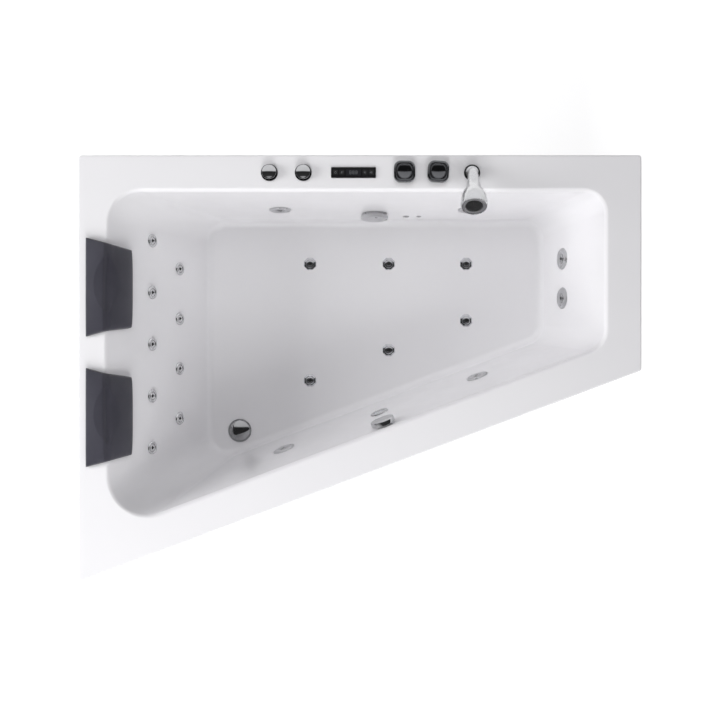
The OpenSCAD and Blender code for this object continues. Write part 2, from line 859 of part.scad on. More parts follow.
// Mixer and diverter valves: bases on the deck, bodies below, two inlets and a link
module tap_valves() {
  body_z = bath_h - tap_body_l * 0.6;
  inlet_z = bath_h - tap_body_l + tap_inlet_r + port_wall;
  inlet_end = row_y + tap_body_r + tap_inlet_l;
  stem_z = bath_h + tap_base_h - tap_stem_l - run_gap;
  inlets = [for (side = [-1, 1]) mixer_x + side * tap_body_r / 2];
  color("silver") difference() {
    union() {
      for (x = [mixer_x, diverter_x])
        translate([x, row_y, bath_h]) {
          cylinder(r = tap_dish_r + tap_base_h, h = tap_base_h);
          disc(-shell_t, tap_hole_r - fit_gap, shell_t);
          disc(-tap_body_l, tap_body_r, tap_body_l - shell_t);
        }
      for (x = inlets)
        rod([x, row_y, inlet_z], [x, inlet_end, inlet_z], tap_inlet_r);
      rod([mixer_x, row_y, body_z], [diverter_x, row_y, body_z], tap_link_r);
    }
    for (x = [mixer_x, diverter_x])
      peg([x, row_y, stem_z], tap_stem_r + run_gap, tap_stem_l + run_gap + cut);
    for (x = inlets)
      rod([x, row_y, inlet_z], [x, inlet_end + cut, inlet_z], tap_inlet_r - port_wall);
  }
}
// Rounded square tap knob with a dished top, on its stem
module tap_knob(x, turn) {
  dish_rise = tap_dish_r * 0.19;
  dish_sphere = (tap_dish_r * tap_dish_r + dish_rise * dish_rise) / (2 * dish_rise);
  brow = tap_h * 0.12;
  color("slategray")
    translate([x, row_y, bath_h + tap_base_h + run_gap])
      rotate(turn) {
        difference() {
          union() {
            rounded_block(tap_s, tap_s, tap_h - brow, tap_corner_r);
            translate([0, 0, tap_h - brow])
              rounded_block(tap_s - 2 * brow, tap_s - 2 * brow, brow, tap_corner_r - brow);
          }
          translate([0, 0, tap_h - dish_rise + dish_sphere])
            sphere(r = dish_sphere, $fn = 96);
        }
        disc(-tap_stem_l, tap_stem_r, tap_stem_l);
      }
}
module mixer_knob() tap_knob(mixer_x, 0);
diverter_turn = -4;
module diverter_knob() tap_knob(diverter_x, diverter_turn);

sleeve_l = 110;
sleeve_nut_r = 24;
sleeve_nut_h = 12;
stem_l = 52;
// Deck sleeve of the hand shower: ring, guide tube and nut
module shower_sleeve() {
  color("silver")
    translate([shower_x, row_y, bath_h])
      difference() {
        union() {
          cylinder(r = sleeve_r, h = sleeve_h * 0.6);
          disc(sleeve_h * 0.6, sleeve_r - 2 * port_wall, sleeve_h * 0.4);
          disc(-sleeve_l, sleeve_hole_r - fit_gap, sleeve_l);
          hexagon(-shell_t - sleeve_nut_h, sleeve_nut_r, sleeve_nut_h);
        }
        disc(-sleeve_l - cut, stem_r + run_gap, sleeve_l + sleeve_h + 2 * cut);
      }
}
shower_yaw = -2;
elbow_r = 26;
shower_base = bath_h + sleeve_h + tee_h;
face_t = 4;
// Outline of the hand shower's body: share of its largest radius, share of its length
body_shares = [[0.43, 0.12], [0.45, 0.22], [0.49, 0.32], [0.57, 0.41], [0.69, 0.5], [0.83, 0.59],
        [0.93, 0.68], [0.985, 0.78], [1, 0.87], [0.995, 0.94], [0.98, 0.98], [0.945, 1]];
// Moves children to the end of the elbow, local Z along the body
module at_shower_elbow() {
  translate([shower_x, row_y, shower_base])
    rotate([0, 0, shower_yaw])
      translate([0, -elbow_r * (1 - sin(shower_rise)), elbow_r * cos(shower_rise)])
        rotate([90 - shower_rise, 0, 0])
          children();
}
// Hand shower: stem in the sleeve, elbow and swelling body with a pocket for its spray face
module hand_shower() {
  color("silver") {
    peg([shower_x, row_y, shower_base - stem_l], stem_r, stem_l);
    peg([shower_x, row_y, shower_base - tee_h + run_gap], shower_neck_r + elbow_wall, tee_h - run_gap + cut);
    translate([shower_x, row_y, shower_base])
      rotate([0, 0, shower_yaw])
        translate([0, -elbow_r, 0])
          rotate([90, 0, 90])
            rotate_extrude(angle = 90 - shower_rise)
              translate([elbow_r, 0])
                circle(r = shower_neck_r);
    at_shower_elbow()
      difference() {
        rotate_extrude()
          polygon(concat([[0, -cut], [shower_neck_r + elbow_wall, -cut]],
            scaled(body_shares, shower_head_r, shower_l),
            [[0, shower_l]]));
        disc(shower_l - face_t, face_r + run_gap, face_t + cut);
      }
  }
}
face_r = shower_head_r * 0.86;
nozzle_r = 1.4;
nozzle_rows = 3;
// Spray face with its ring of rubber nozzles
module shower_face() {
  color("dimgray")
    at_shower_elbow()
      translate([0, 0, shower_l - face_t]) {
        cylinder(r = face_r, h = face_t * 0.6);
        for (row = [1:nozzle_rows], k = [0:row * 6 - 1])
          rotate(k * 60 / row)
            peg([face_r * row / (nozzle_rows + 0.6), 0, 0], nozzle_r, face_t);
      }
}

jet_bore_r = jet_neck_r + fit_gap;
jet_neck_l = 34;
jet_chamber_r = 20;
water_spigot_r = 12;
air_spigot_r = 5;
// Bodies of the large jets behind the walls, with water and air spigots
module jet_housings() {
  color("gainsboro")
    for (jet = jets)
      jet_housing(jet[0], jet[1], jet[2]);
}
module jet_housing(side, u, depth) {
  p = behind(side, u, depth, jet_pipe_gap);
  low = pressure_z + pressure_r + tee_h;
  high = air_z - air_r - tee_h;
  difference() {
    union() {
      on_wall(side, u, depth) {
        disc(-shell_t - jet_body_l, jet_body_r, jet_body_l);
        disc(-shell_t - collar_t, jet_body_r + collar_t, collar_t);
      }
      peg([p.x, p.y, low], water_spigot_r, p.z - low);
      peg([p.x, p.y, p.z], air_spigot_r, high - p.z);
    }
    on_wall(side, u, depth) {
      disc(-jet_neck_l - shell_t, jet_bore_r, jet_neck_l + shell_t);
      disc(-jet_body_l, jet_chamber_r, jet_body_l);
    }
    peg([p.x, p.y, low - cut], water_spigot_r - port_wall, p.z - low + cut);
    peg([p.x, p.y, p.z], air_spigot_r - port_wall, high - p.z + cut);
  }
}
// Depth of the eyeball's centre behind the wall face
ball_z = -6;
// Outline of a large jet's face: share of its radius, share of its thickness
bezel_shares = [[1, 0], [1, 0.3], [0.97, 0.62], [0.91, 0.86], [0.83, 1], [0.79, 1], [0.765, 0.82],
        [0.74, 0.82], [0.715, 1], [0.58, 0.97], [0.47, 0.72], [0.42, 0.6]];
// Chrome faces of the large jets with their necks and ball sockets
module jet_bezels() {
  color("silver")
    for (jet = jets)
      on_wall(jet[0], jet[1], jet[2])
        difference() {
          rotate_extrude()
            polygon(concat(
              [[0, -jet_neck_l], [jet_neck_r, -jet_neck_l], [jet_neck_r, 0]],
              scaled(bezel_shares, jet_r, jet_t),
              [[0, jet_t * 0.6]]));
          translate([0, 0, ball_z])
            sphere(r = ball_r + run_gap);
          disc(-jet_neck_l - cut, ball_r + run_gap, jet_neck_l + cut + ball_z);
          cylinder(r = ball_r * 0.87, h = jet_t + cut);
        }
}
nozzle_bore_r = 4.5;
nozzle_slots = 4;
// Eyeball nozzle number i, with a raised ring round its bore and slots beside it
module jet_nozzle(i) {
  jet = jets[i];
  lip_z = ball_r * 0.56;
  lip_top = ball_r * 0.72;
  lip_r_out = ball_r * 0.55;
  color("gainsboro")
    on_wall(jet[0], jet[1], jet[2])
      translate([0, 0, ball_z])
        difference() {
          union() {
            intersection() {
              sphere(r = ball_r);
              disc(-ball_r, ball_r + cut, ball_r + lip_z);
            }
            cylinder(r = lip_r_out, h = lip_top);
          }
          disc(-ball_r - cut, nozzle_bore_r, 2 * ball_r + 2 * cut);
          for (k = [0:nozzle_slots - 1])
            rotate(k * 360 / nozzle_slots)
              peg([lip_r_out * 0.75, 0, lip_z], nozzle_bore_r * 0.35, ball_r);
        }
}
module jet_nozzle_1() jet_nozzle(0);
module jet_nozzle_2() jet_nozzle(1);
module jet_nozzle_3() jet_nozzle(2);
module jet_nozzle_4() jet_nozzle(3);
module jet_nozzle_5() jet_nozzle(4);
module jet_nozzle_6() jet_nozzle(5);

micro_pipe_r = 12;
micro_body_l = micro_pipe_gap - micro_pipe_r - tee_h;
// Bodies of the back jets behind the backrest
module back_jet_bodies() {
  color("gainsboro")
    for (jet = back_jets)
      on_wall(HEAD, jet[0], jet[1])
        difference() {
          union() {
            disc(-micro_body_l, micro_body_r, micro_body_l - shell_t);
            disc(-shell_t - collar_t, micro_body_r + collar_t, collar_t);
          }
          disc(-micro_body_l - cut, micro_neck_r + fit_gap, micro_body_l + cut);
        }
}
micro_bore_r = 4;
micro_neck_l = 24;
// Chrome faces of the back jets with their necks
module back_jet_faces() {
  color("silver")
    for (jet = back_jets)
      on_wall(HEAD, jet[0], jet[1])
        round_face(micro_r, micro_t, micro_neck_r, micro_neck_l, micro_bore_r);
}
// Outline of a small face: share of its radius, share of its thickness
face_shares = [[1, 0], [1, 0.35], [0.93, 0.75], [0.82, 1], [0.64, 1], [0.52, 0.7], [0.36, 0.6]];
// Domed ring face with a neck behind it and a bore through both
module round_face(r, t, neck_r, neck_l, bore_r) {
  difference() {
    rotate_extrude()
      polygon(concat([[0, -neck_l], [neck_r, -neck_l], [neck_r, 0]],
        scaled(face_shares, r, t),
        [[0, t * 0.6]]));
    disc(-neck_l - cut, bore_r, neck_l + t + 2 * cut);
  }
}
floor_spigot_r = 9;
floor_body_drop = 22;
floor_body_low = rail_top - floor_body_drop;
// Bodies of the floor jets under the floor, each with a spigot down to the blower pipe
module floor_jet_bodies() {
  low = blow_z + blow_r + tee_h;
  color("gainsboro")
    for (place = floor_jets)
      translate(place)
        difference() {
          union() {
            disc(floor_body_low, floor_body_r, board_top - floor_body_low);
            disc(low, floor_spigot_r, floor_body_low - low);
          }
          disc(low - cut, floor_spigot_r - port_wall, board_top - low + cut);
          disc(board_top - micro_neck_l, floor_neck_r + fit_gap, micro_neck_l + cut);
        }
}
// Dark chrome caps of the floor jets
module floor_jet_caps() {
  color("slategray")
    for (place = floor_jets)
      translate([place.x, place.y, floor_z])
        round_face(floor_jet_r, floor_jet_t, floor_neck_r, micro_neck_l, micro_bore_r);
}

suction_body_l = 50;
suction_spigot_l = 10;
// Suction body behind the back wall with its side outlet
module suction_body() {
  p = behind(BACK, suction_x, suction_depth, suction_body_l / 2);
  color("gainsboro") difference() {
    union() {
      on_wall(BACK, suction_x, suction_depth)
        disc(-suction_body_l, suction_neck_r + shell_t, suction_body_l - shell_t);
      rod(p, p - [suction_neck_r + shell_t + suction_spigot_l, 0, 0], suction_pipe_r);
    }
    on_wall(BACK, suction_x, suction_depth)
      disc(-suction_body_l + shell_t, suction_neck_r + fit_gap, suction_body_l);
    rod(p, p - [suction_neck_r + shell_t + suction_spigot_l + cut, 0, 0],
      suction_pipe_r - port_wall);
  }
}
slot_w = 5;
slot_count = 24;
// Outline of the suction grille: share of its radius, share of its thickness
grille_shares = [[0.9, 0], [0.9, 0.42], [1, 0.45], [1, 0.88], [0.97, 0.97], [0.93, 1]];
// Suction grille: cap on a slotted skirt, with its neck through the wall
module suction_grille() {
  color("silver")
    on_wall(BACK, suction_x, suction_depth)
      difference() {
        rotate_extrude()
          polygon(concat([[0, -shell_t * 2], [suction_neck_r, -shell_t * 2], [suction_neck_r, 0]],
            scaled(grille_shares, suction_r, suction_t),
            [[0, suction_t]]));
        disc(-shell_t * 2 - cut, suction_neck_r - port_wall * 2, suction_t * 0.6 + shell_t * 2 + cut);
        for (k = [0:slot_count - 1])
          rotate(k * 360 / slot_count)
            translate([0, -slot_w / 2, suction_t * 0.1])
              cube([suction_r, slot_w, suction_t * 0.3]);
      }
}
// Pipe from the suction body round the head corner to the pump inlet
module suction_pipe() {
  p = behind(BACK, suction_x, suction_depth, suction_body_l / 2);
  start = [p.x - suction_neck_r - shell_t - suction_spigot_l, p.y, p.z];
  color("whitesmoke")
    pipe_path([start, [pump_x + bend_x, p.y, p.z], [pump_x, p.y, pressure_z],
          [pump_x, inlet_y, pressure_z]], suction_pipe_r);
}
bend_x = 120;

// Pressure pipe round the bath below the jets, with a tee at every fitting it feeds
module pressure_pipe() {
  loop = [for (p = pipe_corners) [p.x, p.y, pressure_z]];
  branch_x = head_pipe_x - pressure_r - tee_h;
  color("whitesmoke") {
    pipe_path(concat(loop, [loop[0]]), pressure_r);
    elbow_ball(loop[0], pressure_r);
    for (p = jet_taps)
      peg([p.x, p.y, pressure_z], water_spigot_r + port_wall, pressure_r + tee_h);
    peg([head_pipe_x, riser_y, pressure_z], micro_pipe_r + port_wall / 2, pressure_r + tee_h);
    rod([head_pipe_x, outlet_y, pressure_z], [branch_x, outlet_y, pressure_z], outlet_r);
  }
}
riser_y = -88;
link_y = 287;
pipe_end = 24;
// Two joined pipes behind the backrest that feed the back jets from the pressure pipe
module back_jet_manifold() {
  upper = behind(HEAD, 0, micro_depth_upper, micro_pipe_gap);
  lower = behind(HEAD, 0, micro_depth_lower, micro_pipe_gap);
  reach_u = 2 * micro_pitch + pipe_end;
  reach_l = 1.5 * micro_pitch + pipe_end;
  riser_z = pressure_z + pressure_r + tee_h;
  color("whitesmoke") {
    rod([upper.x, micro_upper_y - reach_u, upper.z], [upper.x, micro_upper_y + reach_u, upper.z],
      micro_pipe_r);
    rod([lower.x, micro_lower_y - reach_l, lower.z], [lower.x, micro_lower_y + reach_l, lower.z],
      micro_pipe_r);
    rod([upper.x, link_y, upper.z], [lower.x, link_y, lower.z], micro_pipe_r * 0.8);
    peg([lower.x, riser_y, riser_z], micro_pipe_r, lower.z - riser_z);
    for (jet = back_jets)
      on_wall(HEAD, jet[0], jet[1])
        disc(-micro_pipe_gap, micro_pipe_r * 0.85, micro_pipe_r + tee_h);
  }
}
// Air pipe from the regulators along three sides above the jets
module venturi_air_line() {
  start = [reg1_x, ring_off[0], air_z];
  finish = [jet_taps[5].x, jet_taps[5].y, air_z];
  color("whitesmoke") {
    pipe_path([start, [pipe_corners[0].x, pipe_corners[0].y, air_z],
               [pipe_corners[1].x, pipe_corners[1].y, air_z], finish], air_r);
    for (p = [start, finish])
      elbow_ball(p, air_r);
    for (p = jet_taps)
      peg([p.x, p.y, air_z - air_r - tee_h], air_spigot_r + port_wall / 2, air_r + tee_h);
    for (x = [reg1_x, reg2_x])
      rod([x, row_y, air_z - air_spigot_r], [x, row_y, bath_h - reg_body_l], air_spigot_r);
  }
}
header_y = 200;
// Air pipes under the floor from the blower to the floor jets
module blower_air_line() {
  top = rail_top + tray_t + blow_out_h;
  color("whitesmoke") {
    pipe_path([[blower_x + blower_r + blow_stub, blower_y, top], [blow_drop_x, blower_y, top],
          [blow_drop_x, blower_y, blow_z], [blow_drop_x, header_y, blow_z],
          [floor_x3, header_y, blow_z]], blow_r);
    elbow_ball([floor_x3, header_y, blow_z], blow_r);
    for (row = [[floor_x1, floor_y1], [floor_x2, floor_y2], [floor_x3, floor_y3]]) {
      rod([row[0], row[1], blow_z], [row[0], floor_y_back, blow_z], blow_r * 0.85);
      for (y = [row[1], floor_y_back])
        elbow_ball([row[0], y, blow_z], blow_r * 0.85);
    }
    for (place = floor_jets)
      peg([place.x, place.y, blow_z], floor_spigot_r + port_wall / 2, blow_r + tee_h);
  }
}

// Places of the pump and the blower on the tray
pump_x = head_pipe_x - pressure_r - tee_h - volute_r;
volute_y = 255;
inlet_l = 14;
outlet_r = 13;
inlet_y = volute_y + volute_l + inlet_l;
outlet_y = volute_y + volute_l / 2;
casing_t = 5;
shaft_r = 6;
fan_gap = 3;
tray_top = rail_top + tray_t;
impeller_r = volute_r - casing_t - fan_gap;
impeller_t = 16;
// Round bar on the pump's axis, from y towards the motor over a length l
module pump_bar(y, r, l) {
  translate([pump_x, y, pressure_z])
    rotate([90, 0, 0])
      cylinder(r = r, h = l);
}
// Wet end of the pump: volute with axial inlet, side outlet and a foot
module pump_housing() {
  color("black") difference() {
    union() {
      pump_bar(volute_y + volute_l, volute_r, volute_l);
      pump_bar(inlet_y, suction_pipe_r, inlet_l + cut);
      rod([pump_x, outlet_y, pressure_z],
        [head_pipe_x - pressure_r - tee_h, outlet_y, pressure_z], outlet_r);
      translate([pump_x - volute_r / 2, volute_y, tray_top])
        cube([volute_r, volute_l, pressure_z - tray_top]);
    }
    pump_bar(volute_y + volute_l - casing_t, volute_r - casing_t, volute_l - 2 * casing_t);
    pump_bar(inlet_y + cut, suction_pipe_r - port_wall, inlet_l + casing_t + 2 * cut);
    pump_bar(volute_y + casing_t + cut, shaft_r + fit_gap, casing_t + 2 * cut);
  }
}
cowl_l = 34;
rotor_r = motor_r * 0.55;
rotor_l = motor_l * 0.55;
// Motor of the pump: finned shell with a fan cowl at its end, on two feet
module pump_motor() {
  y1 = volute_y - motor_l;
  fin_h = 3;
  fins = 24;
  color("slategray") difference() {
    union() {
      translate([pump_x, volute_y, pressure_z])
        rotate([90, 0, 0]) {
          cylinder(r = motor_r - fin_h, h = motor_l);
          for (k = [0:fins - 1])
            rotate(k * 360 / fins)
              translate([0, -fin_h / 3, casing_t])
                cube([motor_r - fin_h / 3, fin_h * 0.66, motor_l - cowl_l - casing_t + cut]);
        }
      pump_bar(y1 + cowl_l, motor_r, cowl_l);
      for (y = [y1 + cowl_l + casing_t, volute_y - cowl_l - casing_t])
        translate([pump_x - motor_r * 0.6, y, tray_top])
          cube([motor_r * 1.2, cowl_l / 2, pressure_z - tray_top - rotor_r]);
    }
    pump_bar(volute_y - casing_t, rotor_r + fan_gap, motor_l - cowl_l - 2 * casing_t);
    pump_bar(y1 + cowl_l - casing_t, motor_r - casing_t, cowl_l - 2 * casing_t);
    pump_bar(volute_y + cut, shaft_r + run_gap, motor_l - casing_t + cut);
    for (k = [0:11], ring_share = [0.4, 0.7])
      translate([pump_x, y1 + casing_t + cut, pressure_z])
        rotate([90, 0, 0])
          rotate(k * 30)
            peg([motor_r * ring_share, 0, 0], casing_t * 0.7, casing_t + 2 * cut);
  }
}
// Shaft with impeller, rotor core and cooling fan
module pump_rotor() {
  y1 = volute_y - motor_l;
  shaft_end = volute_y + volute_l - casing_t - fan_gap - cut;
  shaft_start = y1 + casing_t + cut;
  blades = 6;
  color("dimgray")
    translate([pump_x, 0, pressure_z]) {
      rod([0, shaft_start, 0], [0, shaft_end, 0], shaft_r);
      rod([0, volute_y + casing_t + fan_gap, 0],
        [0, volute_y + casing_t + fan_gap + impeller_t / 2, 0], impeller_r);
      for (k = [0:blades - 1])
        rotate([0, k * 360 / blades, 0])
          translate([0, volute_y + casing_t + fan_gap, -cut / 2])
            cube([impeller_r, impeller_t, cut]);
      rod([0, volute_y - casing_t - fan_gap - rotor_l, 0], [0, volute_y - casing_t - fan_gap, 0],
        rotor_r);
      for (k = [0:blades - 1])
        rotate([0, k * 360 / blades, 0])
          translate([0, y1 + casing_t + fan_gap, -cut / 2])
            cube([motor_r - casing_t - fan_gap, cowl_l - 3 * casing_t, cut]);
    }
}

blower_x = -750;
blower_y = -300;
blow_out_h = 26;
blow_stub = 8;
blow_drop_x = -612;
blower_base = 10;
intake_r = blower_r * 0.35;
// Air blower: drum on a base, open intake in its lid and a side outlet
module blower_housing() {
  top = tray_top + blow_out_h;
  color("darkgray") difference() {
    union() {
      peg([blower_x, blower_y, tray_top], blower_r, blower_h);
      rod([blower_x, blower_y, top], [blower_x + blower_r + blow_stub, blower_y, top], blow_r);
    }
    peg([blower_x, blower_y, tray_top + blower_base], blower_r - casing_t,
      blower_h - blower_base - casing_t);
    peg([blower_x, blower_y, tray_top + blower_h - casing_t - cut], intake_r, casing_t + 2 * cut);
    translate([blower_x, blower_y, top])
      rotate([0, 90, 0])
        cylinder(r = blow_r - port_wall, h = blower_r + blow_stub + cut);
    peg([blower_x, blower_y, tray_top + cut], shaft_r + run_gap, blower_base);
  }
}
// Fan wheel of the blower on its shaft
module blower_rotor() {
  wheel_z = tray_top + blower_base + 2 * blow_r + fan_gap + casing_t;
  wheel_h = tray_top + blower_h - casing_t - fan_gap - wheel_z;
  wheel_r = blower_r - casing_t - fan_gap;
  blades = 12;
  color("dimgray")
    translate([blower_x, blower_y, 0]) {
      disc(tray_top + cut + run_gap, shaft_r, wheel_z + wheel_h - tray_top - cut - run_gap);
      disc(wheel_z, wheel_r, casing_t);
      for (k = [0:blades - 1])
        rotate(k * 360 / blades)
          translate([wheel_r * 0.55, 0, wheel_z])
            rotate(25)
              cube([wheel_r * 0.4, cut, wheel_h]);
    }
}
box_l = 108;
box_w = 140;
box_h = 130;
box_y = -145;
box_gap = 10;
gland_r = 9;
gland_l = 14;
// Electrical control box with its cable glands
module control_box() {
  x = pump_x - box_l / 2;
  color("lightgray") {
    translate([x, box_y - box_w / 2, tray_top])
      cube([box_l, box_w, box_h - tee_h]);
    translate([x - cut, box_y - box_w / 2 - cut, tray_top + box_h - tee_h])
      cube([box_l + 2 * cut, box_w + 2 * cut, tee_h]);
    difference() {
      for (k = [-1, 0, 1])
        translate([x - gland_l, box_y + k * 3 * gland_r, tray_top + box_h / 2])
          rotate([0, 90, 0])
            cylinder(r = gland_r, h = gland_l);
      for (k = [-1, 0, 1])
        translate([x - gland_l - cut, box_y + k * 3 * gland_r, tray_top + box_h / 2])
          rotate([0, 90, 0])
            cylinder(r = gland_r / 2, h = gland_l);
    }
  }
}

drain_t = 3;
drain_drop = 33;
drain_low = rail_bottom - drain_drop;
guide_r = 4;
hose_z = rail_bottom - drain_drop / 2;
hose_stub = 10;
hose_u = overflow_u - overflow_neck_r - 2 * hose_r - hose_stub;
hose_knee_z = 275;
hose_pass_z = air_z + 4 * air_r;
hose_side = shell_t + hose_r + elbow_wall;
hose_out = wall_at(FRONT, bath_h - hose_knee_z) + hose_side + 8;
hose_pass = wall_at(FRONT, bath_h - hose_pass_z) + hose_side + 1.3;
hose_low = normals[FRONT] * hose_out + along[FRONT] * hose_u;
hose_turn = atan2(hose_low.y - drain_y, hose_low.x - drain_x);
// Drain body: flange on the floor, threaded body, cross with a guide, hose stub at the side
module drain_body() {
  bore_r = drain_neck_r - port_wall * 2;
  color("silver")
    translate([drain_x, drain_y, 0])
      difference() {
        union() {
          difference() {
            union() {
              disc(floor_z, drain_r, drain_t);
              disc(drain_low, drain_neck_r, floor_z - drain_low);
            }
            disc(drain_low - cut, bore_r, floor_z + drain_t - drain_low + 2 * cut);
          }
          for (turn = [0, 90])
            rotate(turn)
              translate([-bore_r - cut / 2, -cut, floor_z - shell_t])
                cube([2 * bore_r + cut, 2 * cut, shell_t]);
          disc(floor_z - 2 * shell_t, guide_r + cut, 2 * shell_t);
          rotate(hose_turn)
            translate([bore_r + cut / 2, 0, hose_z])
              rotate([0, 90, 0])
                cylinder(r = hose_r, h = drain_neck_r - bore_r + hose_stub - cut / 2);
        }
        disc(floor_z - 3 * shell_t, guide_r + run_gap, 4 * shell_t);
        rotate(hose_turn)
          translate([0, 0, hose_z])
            rotate([0, 90, 0])
              cylinder(r = hose_r - port_wall, h = drain_neck_r + hose_stub + cut);
      }
}
plug_h = 9;
plug_stem_l = 34;
// Lifting plug: domed cover with its guide stem
module drain_plug() {
  dome_r = (plug_r * plug_r + plug_h * plug_h) / (2 * plug_h);
  color("silver")
    translate([drain_x, drain_y, floor_z + drain_t + run_gap]) {
      intersection() {
        cylinder(r = plug_r, h = plug_h);
        translate([0, 0, plug_h - dome_r + plug_h * 0.25])
          sphere(r = dome_r, $fn = 96);
      }
      disc(-plug_stem_l, guide_r, plug_stem_l + cut);
    }
}
trap_r = 33;
trap_low = 12;
trap_neck = 8;
trap_top = drain_low - trap_neck;
outlet_l = 130;
waste_z = trap_low + waste_r + 3 * port_wall;
// Bottle trap under the drain with a level outlet towards the head end
module drain_trap() {
  color("white")
    translate([drain_x, drain_y, 0])
      difference() {
        union() {
          disc(trap_low, trap_r, trap_top - trap_low);
          disc(trap_top, drain_neck_r, drain_low - trap_top);
          translate([0, 0, waste_z])
            rotate([0, -90, 0]) {
              cylinder(r = waste_r, h = outlet_l);
              cylinder(r = waste_r + 2 * port_wall, h = trap_r + tee_h);
            }
        }
        disc(trap_low + port_wall, drain_neck_r - 2 * port_wall, drain_low - trap_low);
        translate([0, 0, waste_z])
          rotate([0, -90, 0])
            cylinder(r = waste_r - port_wall, h = outlet_l + cut);
      }
}
overflow_body_l = 44;
spindle_r = 5;
spindle_l = 24;
overflow_mid = behind(FRONT, overflow_u, overflow_depth, overflow_body_l / 2);
overflow_elbow = overflow_mid + [along[FRONT].x, along[FRONT].y, 0] * (hose_u - overflow_u);
// Overflow body behind the wall, its sleeve through the wall and its side outlet
module overflow_body() {
  face = overflow_gap - run_gap;
  drop = [0, 0, overflow_r];
  color("gainsboro") difference() {
    union() {
      on_wall(FRONT, overflow_u, overflow_depth) {
        disc(-overflow_body_l, overflow_neck_r + shell_t, overflow_body_l - shell_t);
        disc(-overflow_body_l + shell_t, overflow_neck_r, overflow_body_l - shell_t + face);
      }
      pipe_path([overflow_mid, overflow_elbow, overflow_elbow - drop], hose_r);
    }
    on_wall(FRONT, overflow_u, overflow_depth)
      disc(face - spindle_l - run_gap, spindle_r + run_gap, spindle_l + 2 * run_gap + cut);
    peg(overflow_elbow - drop - [0, 0, cut], hose_r - port_wall, overflow_r + cut);
  }
}
// Outline of the overflow knob: share of its radius, share of its length
knob_shares = [[1, 0], [1, 0.84], [0.97, 0.95], [0.91, 1], [0.82, 1], [0.78, 0.95]];
// Turning overflow knob on its spindle
module overflow_knob() {
  color("silver")
    on_wall(FRONT, overflow_u, overflow_depth)
      translate([0, 0, overflow_gap]) {
        rotate_extrude()
          polygon(concat([[0, 0]],
            scaled(knob_shares, overflow_r, overflow_l),
            [[0, overflow_l * 0.95]]));
        disc(-spindle_l, spindle_r, spindle_l + cut);
      }
}
// Hose from the overflow down to the drain body
module overflow_hose() {
  start = overflow_elbow - [0, 0, overflow_r];
  finish = drain_neck_r + hose_stub;
  pass = normals[FRONT] * hose_pass + along[FRONT] * hose_u;
  color("dimgray")
    pipe_path([start, start - [0, 0, 2 * hose_r], [pass.x, pass.y, hose_pass_z],
              [hose_low.x, hose_low.y, hose_knee_z],
               [hose_low.x, hose_low.y, hose_z],
               [drain_x + finish * cos(hose_turn), drain_y + finish * sin(hose_turn), hose_z]], hose_r);
}
// Cable that lifts the plug when the overflow knob turns
module popup_cable() {
  p = behind(FRONT, overflow_u, overflow_depth, overflow_body_l + cable_r);
  down = normals[FRONT] * cable_out + along[FRONT] * (hose_u - cable_side);
  turn = normals[FRONT] * cable_turn_out + along[FRONT] * cable_turn_u;
  low = drain_low + cable_r * 2;
  color("black")
    pipe_path([p, [down.x, down.y, p.z - cable_side], [down.x, down.y, low], [turn.x, turn.y, low],
          [drain_x, drain_y - cable_swing, low], [drain_x, drain_y - drain_neck_r, low]], cable_r);
}
cable_out = wall_off[FRONT] + 47;
cable_side = 22;
cable_turn_out = wall_off[FRONT] - 6;
cable_turn_u = -340;
cable_swing = 70;

light_body_r = 26;
light_body_l = 40;
// Underwater light: chrome face, neck through the wall and body behind it
module light_housing() {
  color("silver")
    on_wall(FRONT, overflow_u, light_depth)
      difference() {
        union() {
          cylinder(r = light_r, h = light_t * 0.5);
          disc(light_t * 0.5, light_r - cut, light_t * 0.5);
          disc(-2 * shell_t, light_neck_r, 2 * shell_t);
          disc(-light_body_l, light_body_r, light_body_l - shell_t);
        }
        cylinder(r = lens_r + run_gap, h = light_t + cut);
      }
}
// Lens of the underwater light
module light_lens() {
  color("lightsteelblue")
    on_wall(FRONT, overflow_u, light_depth)
      cylinder(r = lens_r, h = light_t * 0.7);
}
// Two level sensors beside the suction grille, each a button with a stud and a nut
module level_sensors() {
  color("gray")
    for (sensor = sensors)
      on_wall(BACK, sensor[0], sensor_depth) {
        cylinder(r = sensor[1], h = sensor_t * 0.6);
        disc(sensor_t * 0.6, sensor[1] * 0.75, sensor_t * 0.4);
        disc(-sensor_stud_l, sensor_stud_r, sensor_stud_l);
        hexagon(-shell_t - sensor_t * 2, sensor_stud_r * 2, sensor_t * 2);
      }
}

// Headrest pad: its underside follows deck, lip and backrest, its crown is hollowed
rest_rows = 4;
lip_rows = 3;
rest_cols = 14;
deck_flat_x = -(wall_at(HEAD, lip_r) + lip_r);
rest_x = -bath_l / 2 + rest_inset;
deck_run = deck_flat_x - rest_x;
lip_run = lip_r * (90 - tilt[HEAD]) * PI / 180;
wall_run = (rest_reach - lip_r) / cos(tilt[HEAD]);
rest_run = deck_run + lip_run + wall_run;
// Runs of a headrest's sections: on the deck, round the lip and down the backrest
rest_runs = concat([for (i = [0:rest_rows - 1]) deck_run * i / rest_rows],
  [for (i = [0:lip_rows - 1]) deck_run + lip_run * i / lip_rows],
  [for (i = [0:rest_rows]) deck_run + lip_run + wall_run * i / rest_rows]);
// Shift of the bowed head side at a place y and a depth
function bow_at(y, depth) =
  let (y1 = crossing(2, wall_off[2] - corner_front_head, wall_off[3] - corner_front_head).y,
     y2 = crossing(3, wall_off[3] - corner_head_back, wall_off[0] - corner_head_back).y,
     t = (y - y1) / (y2 - y1))
  head_bow * max(0, 1 - pow(2 * t - 1, 2)) * pow(max(0, 1 - depth / head_bow_depth), 2);
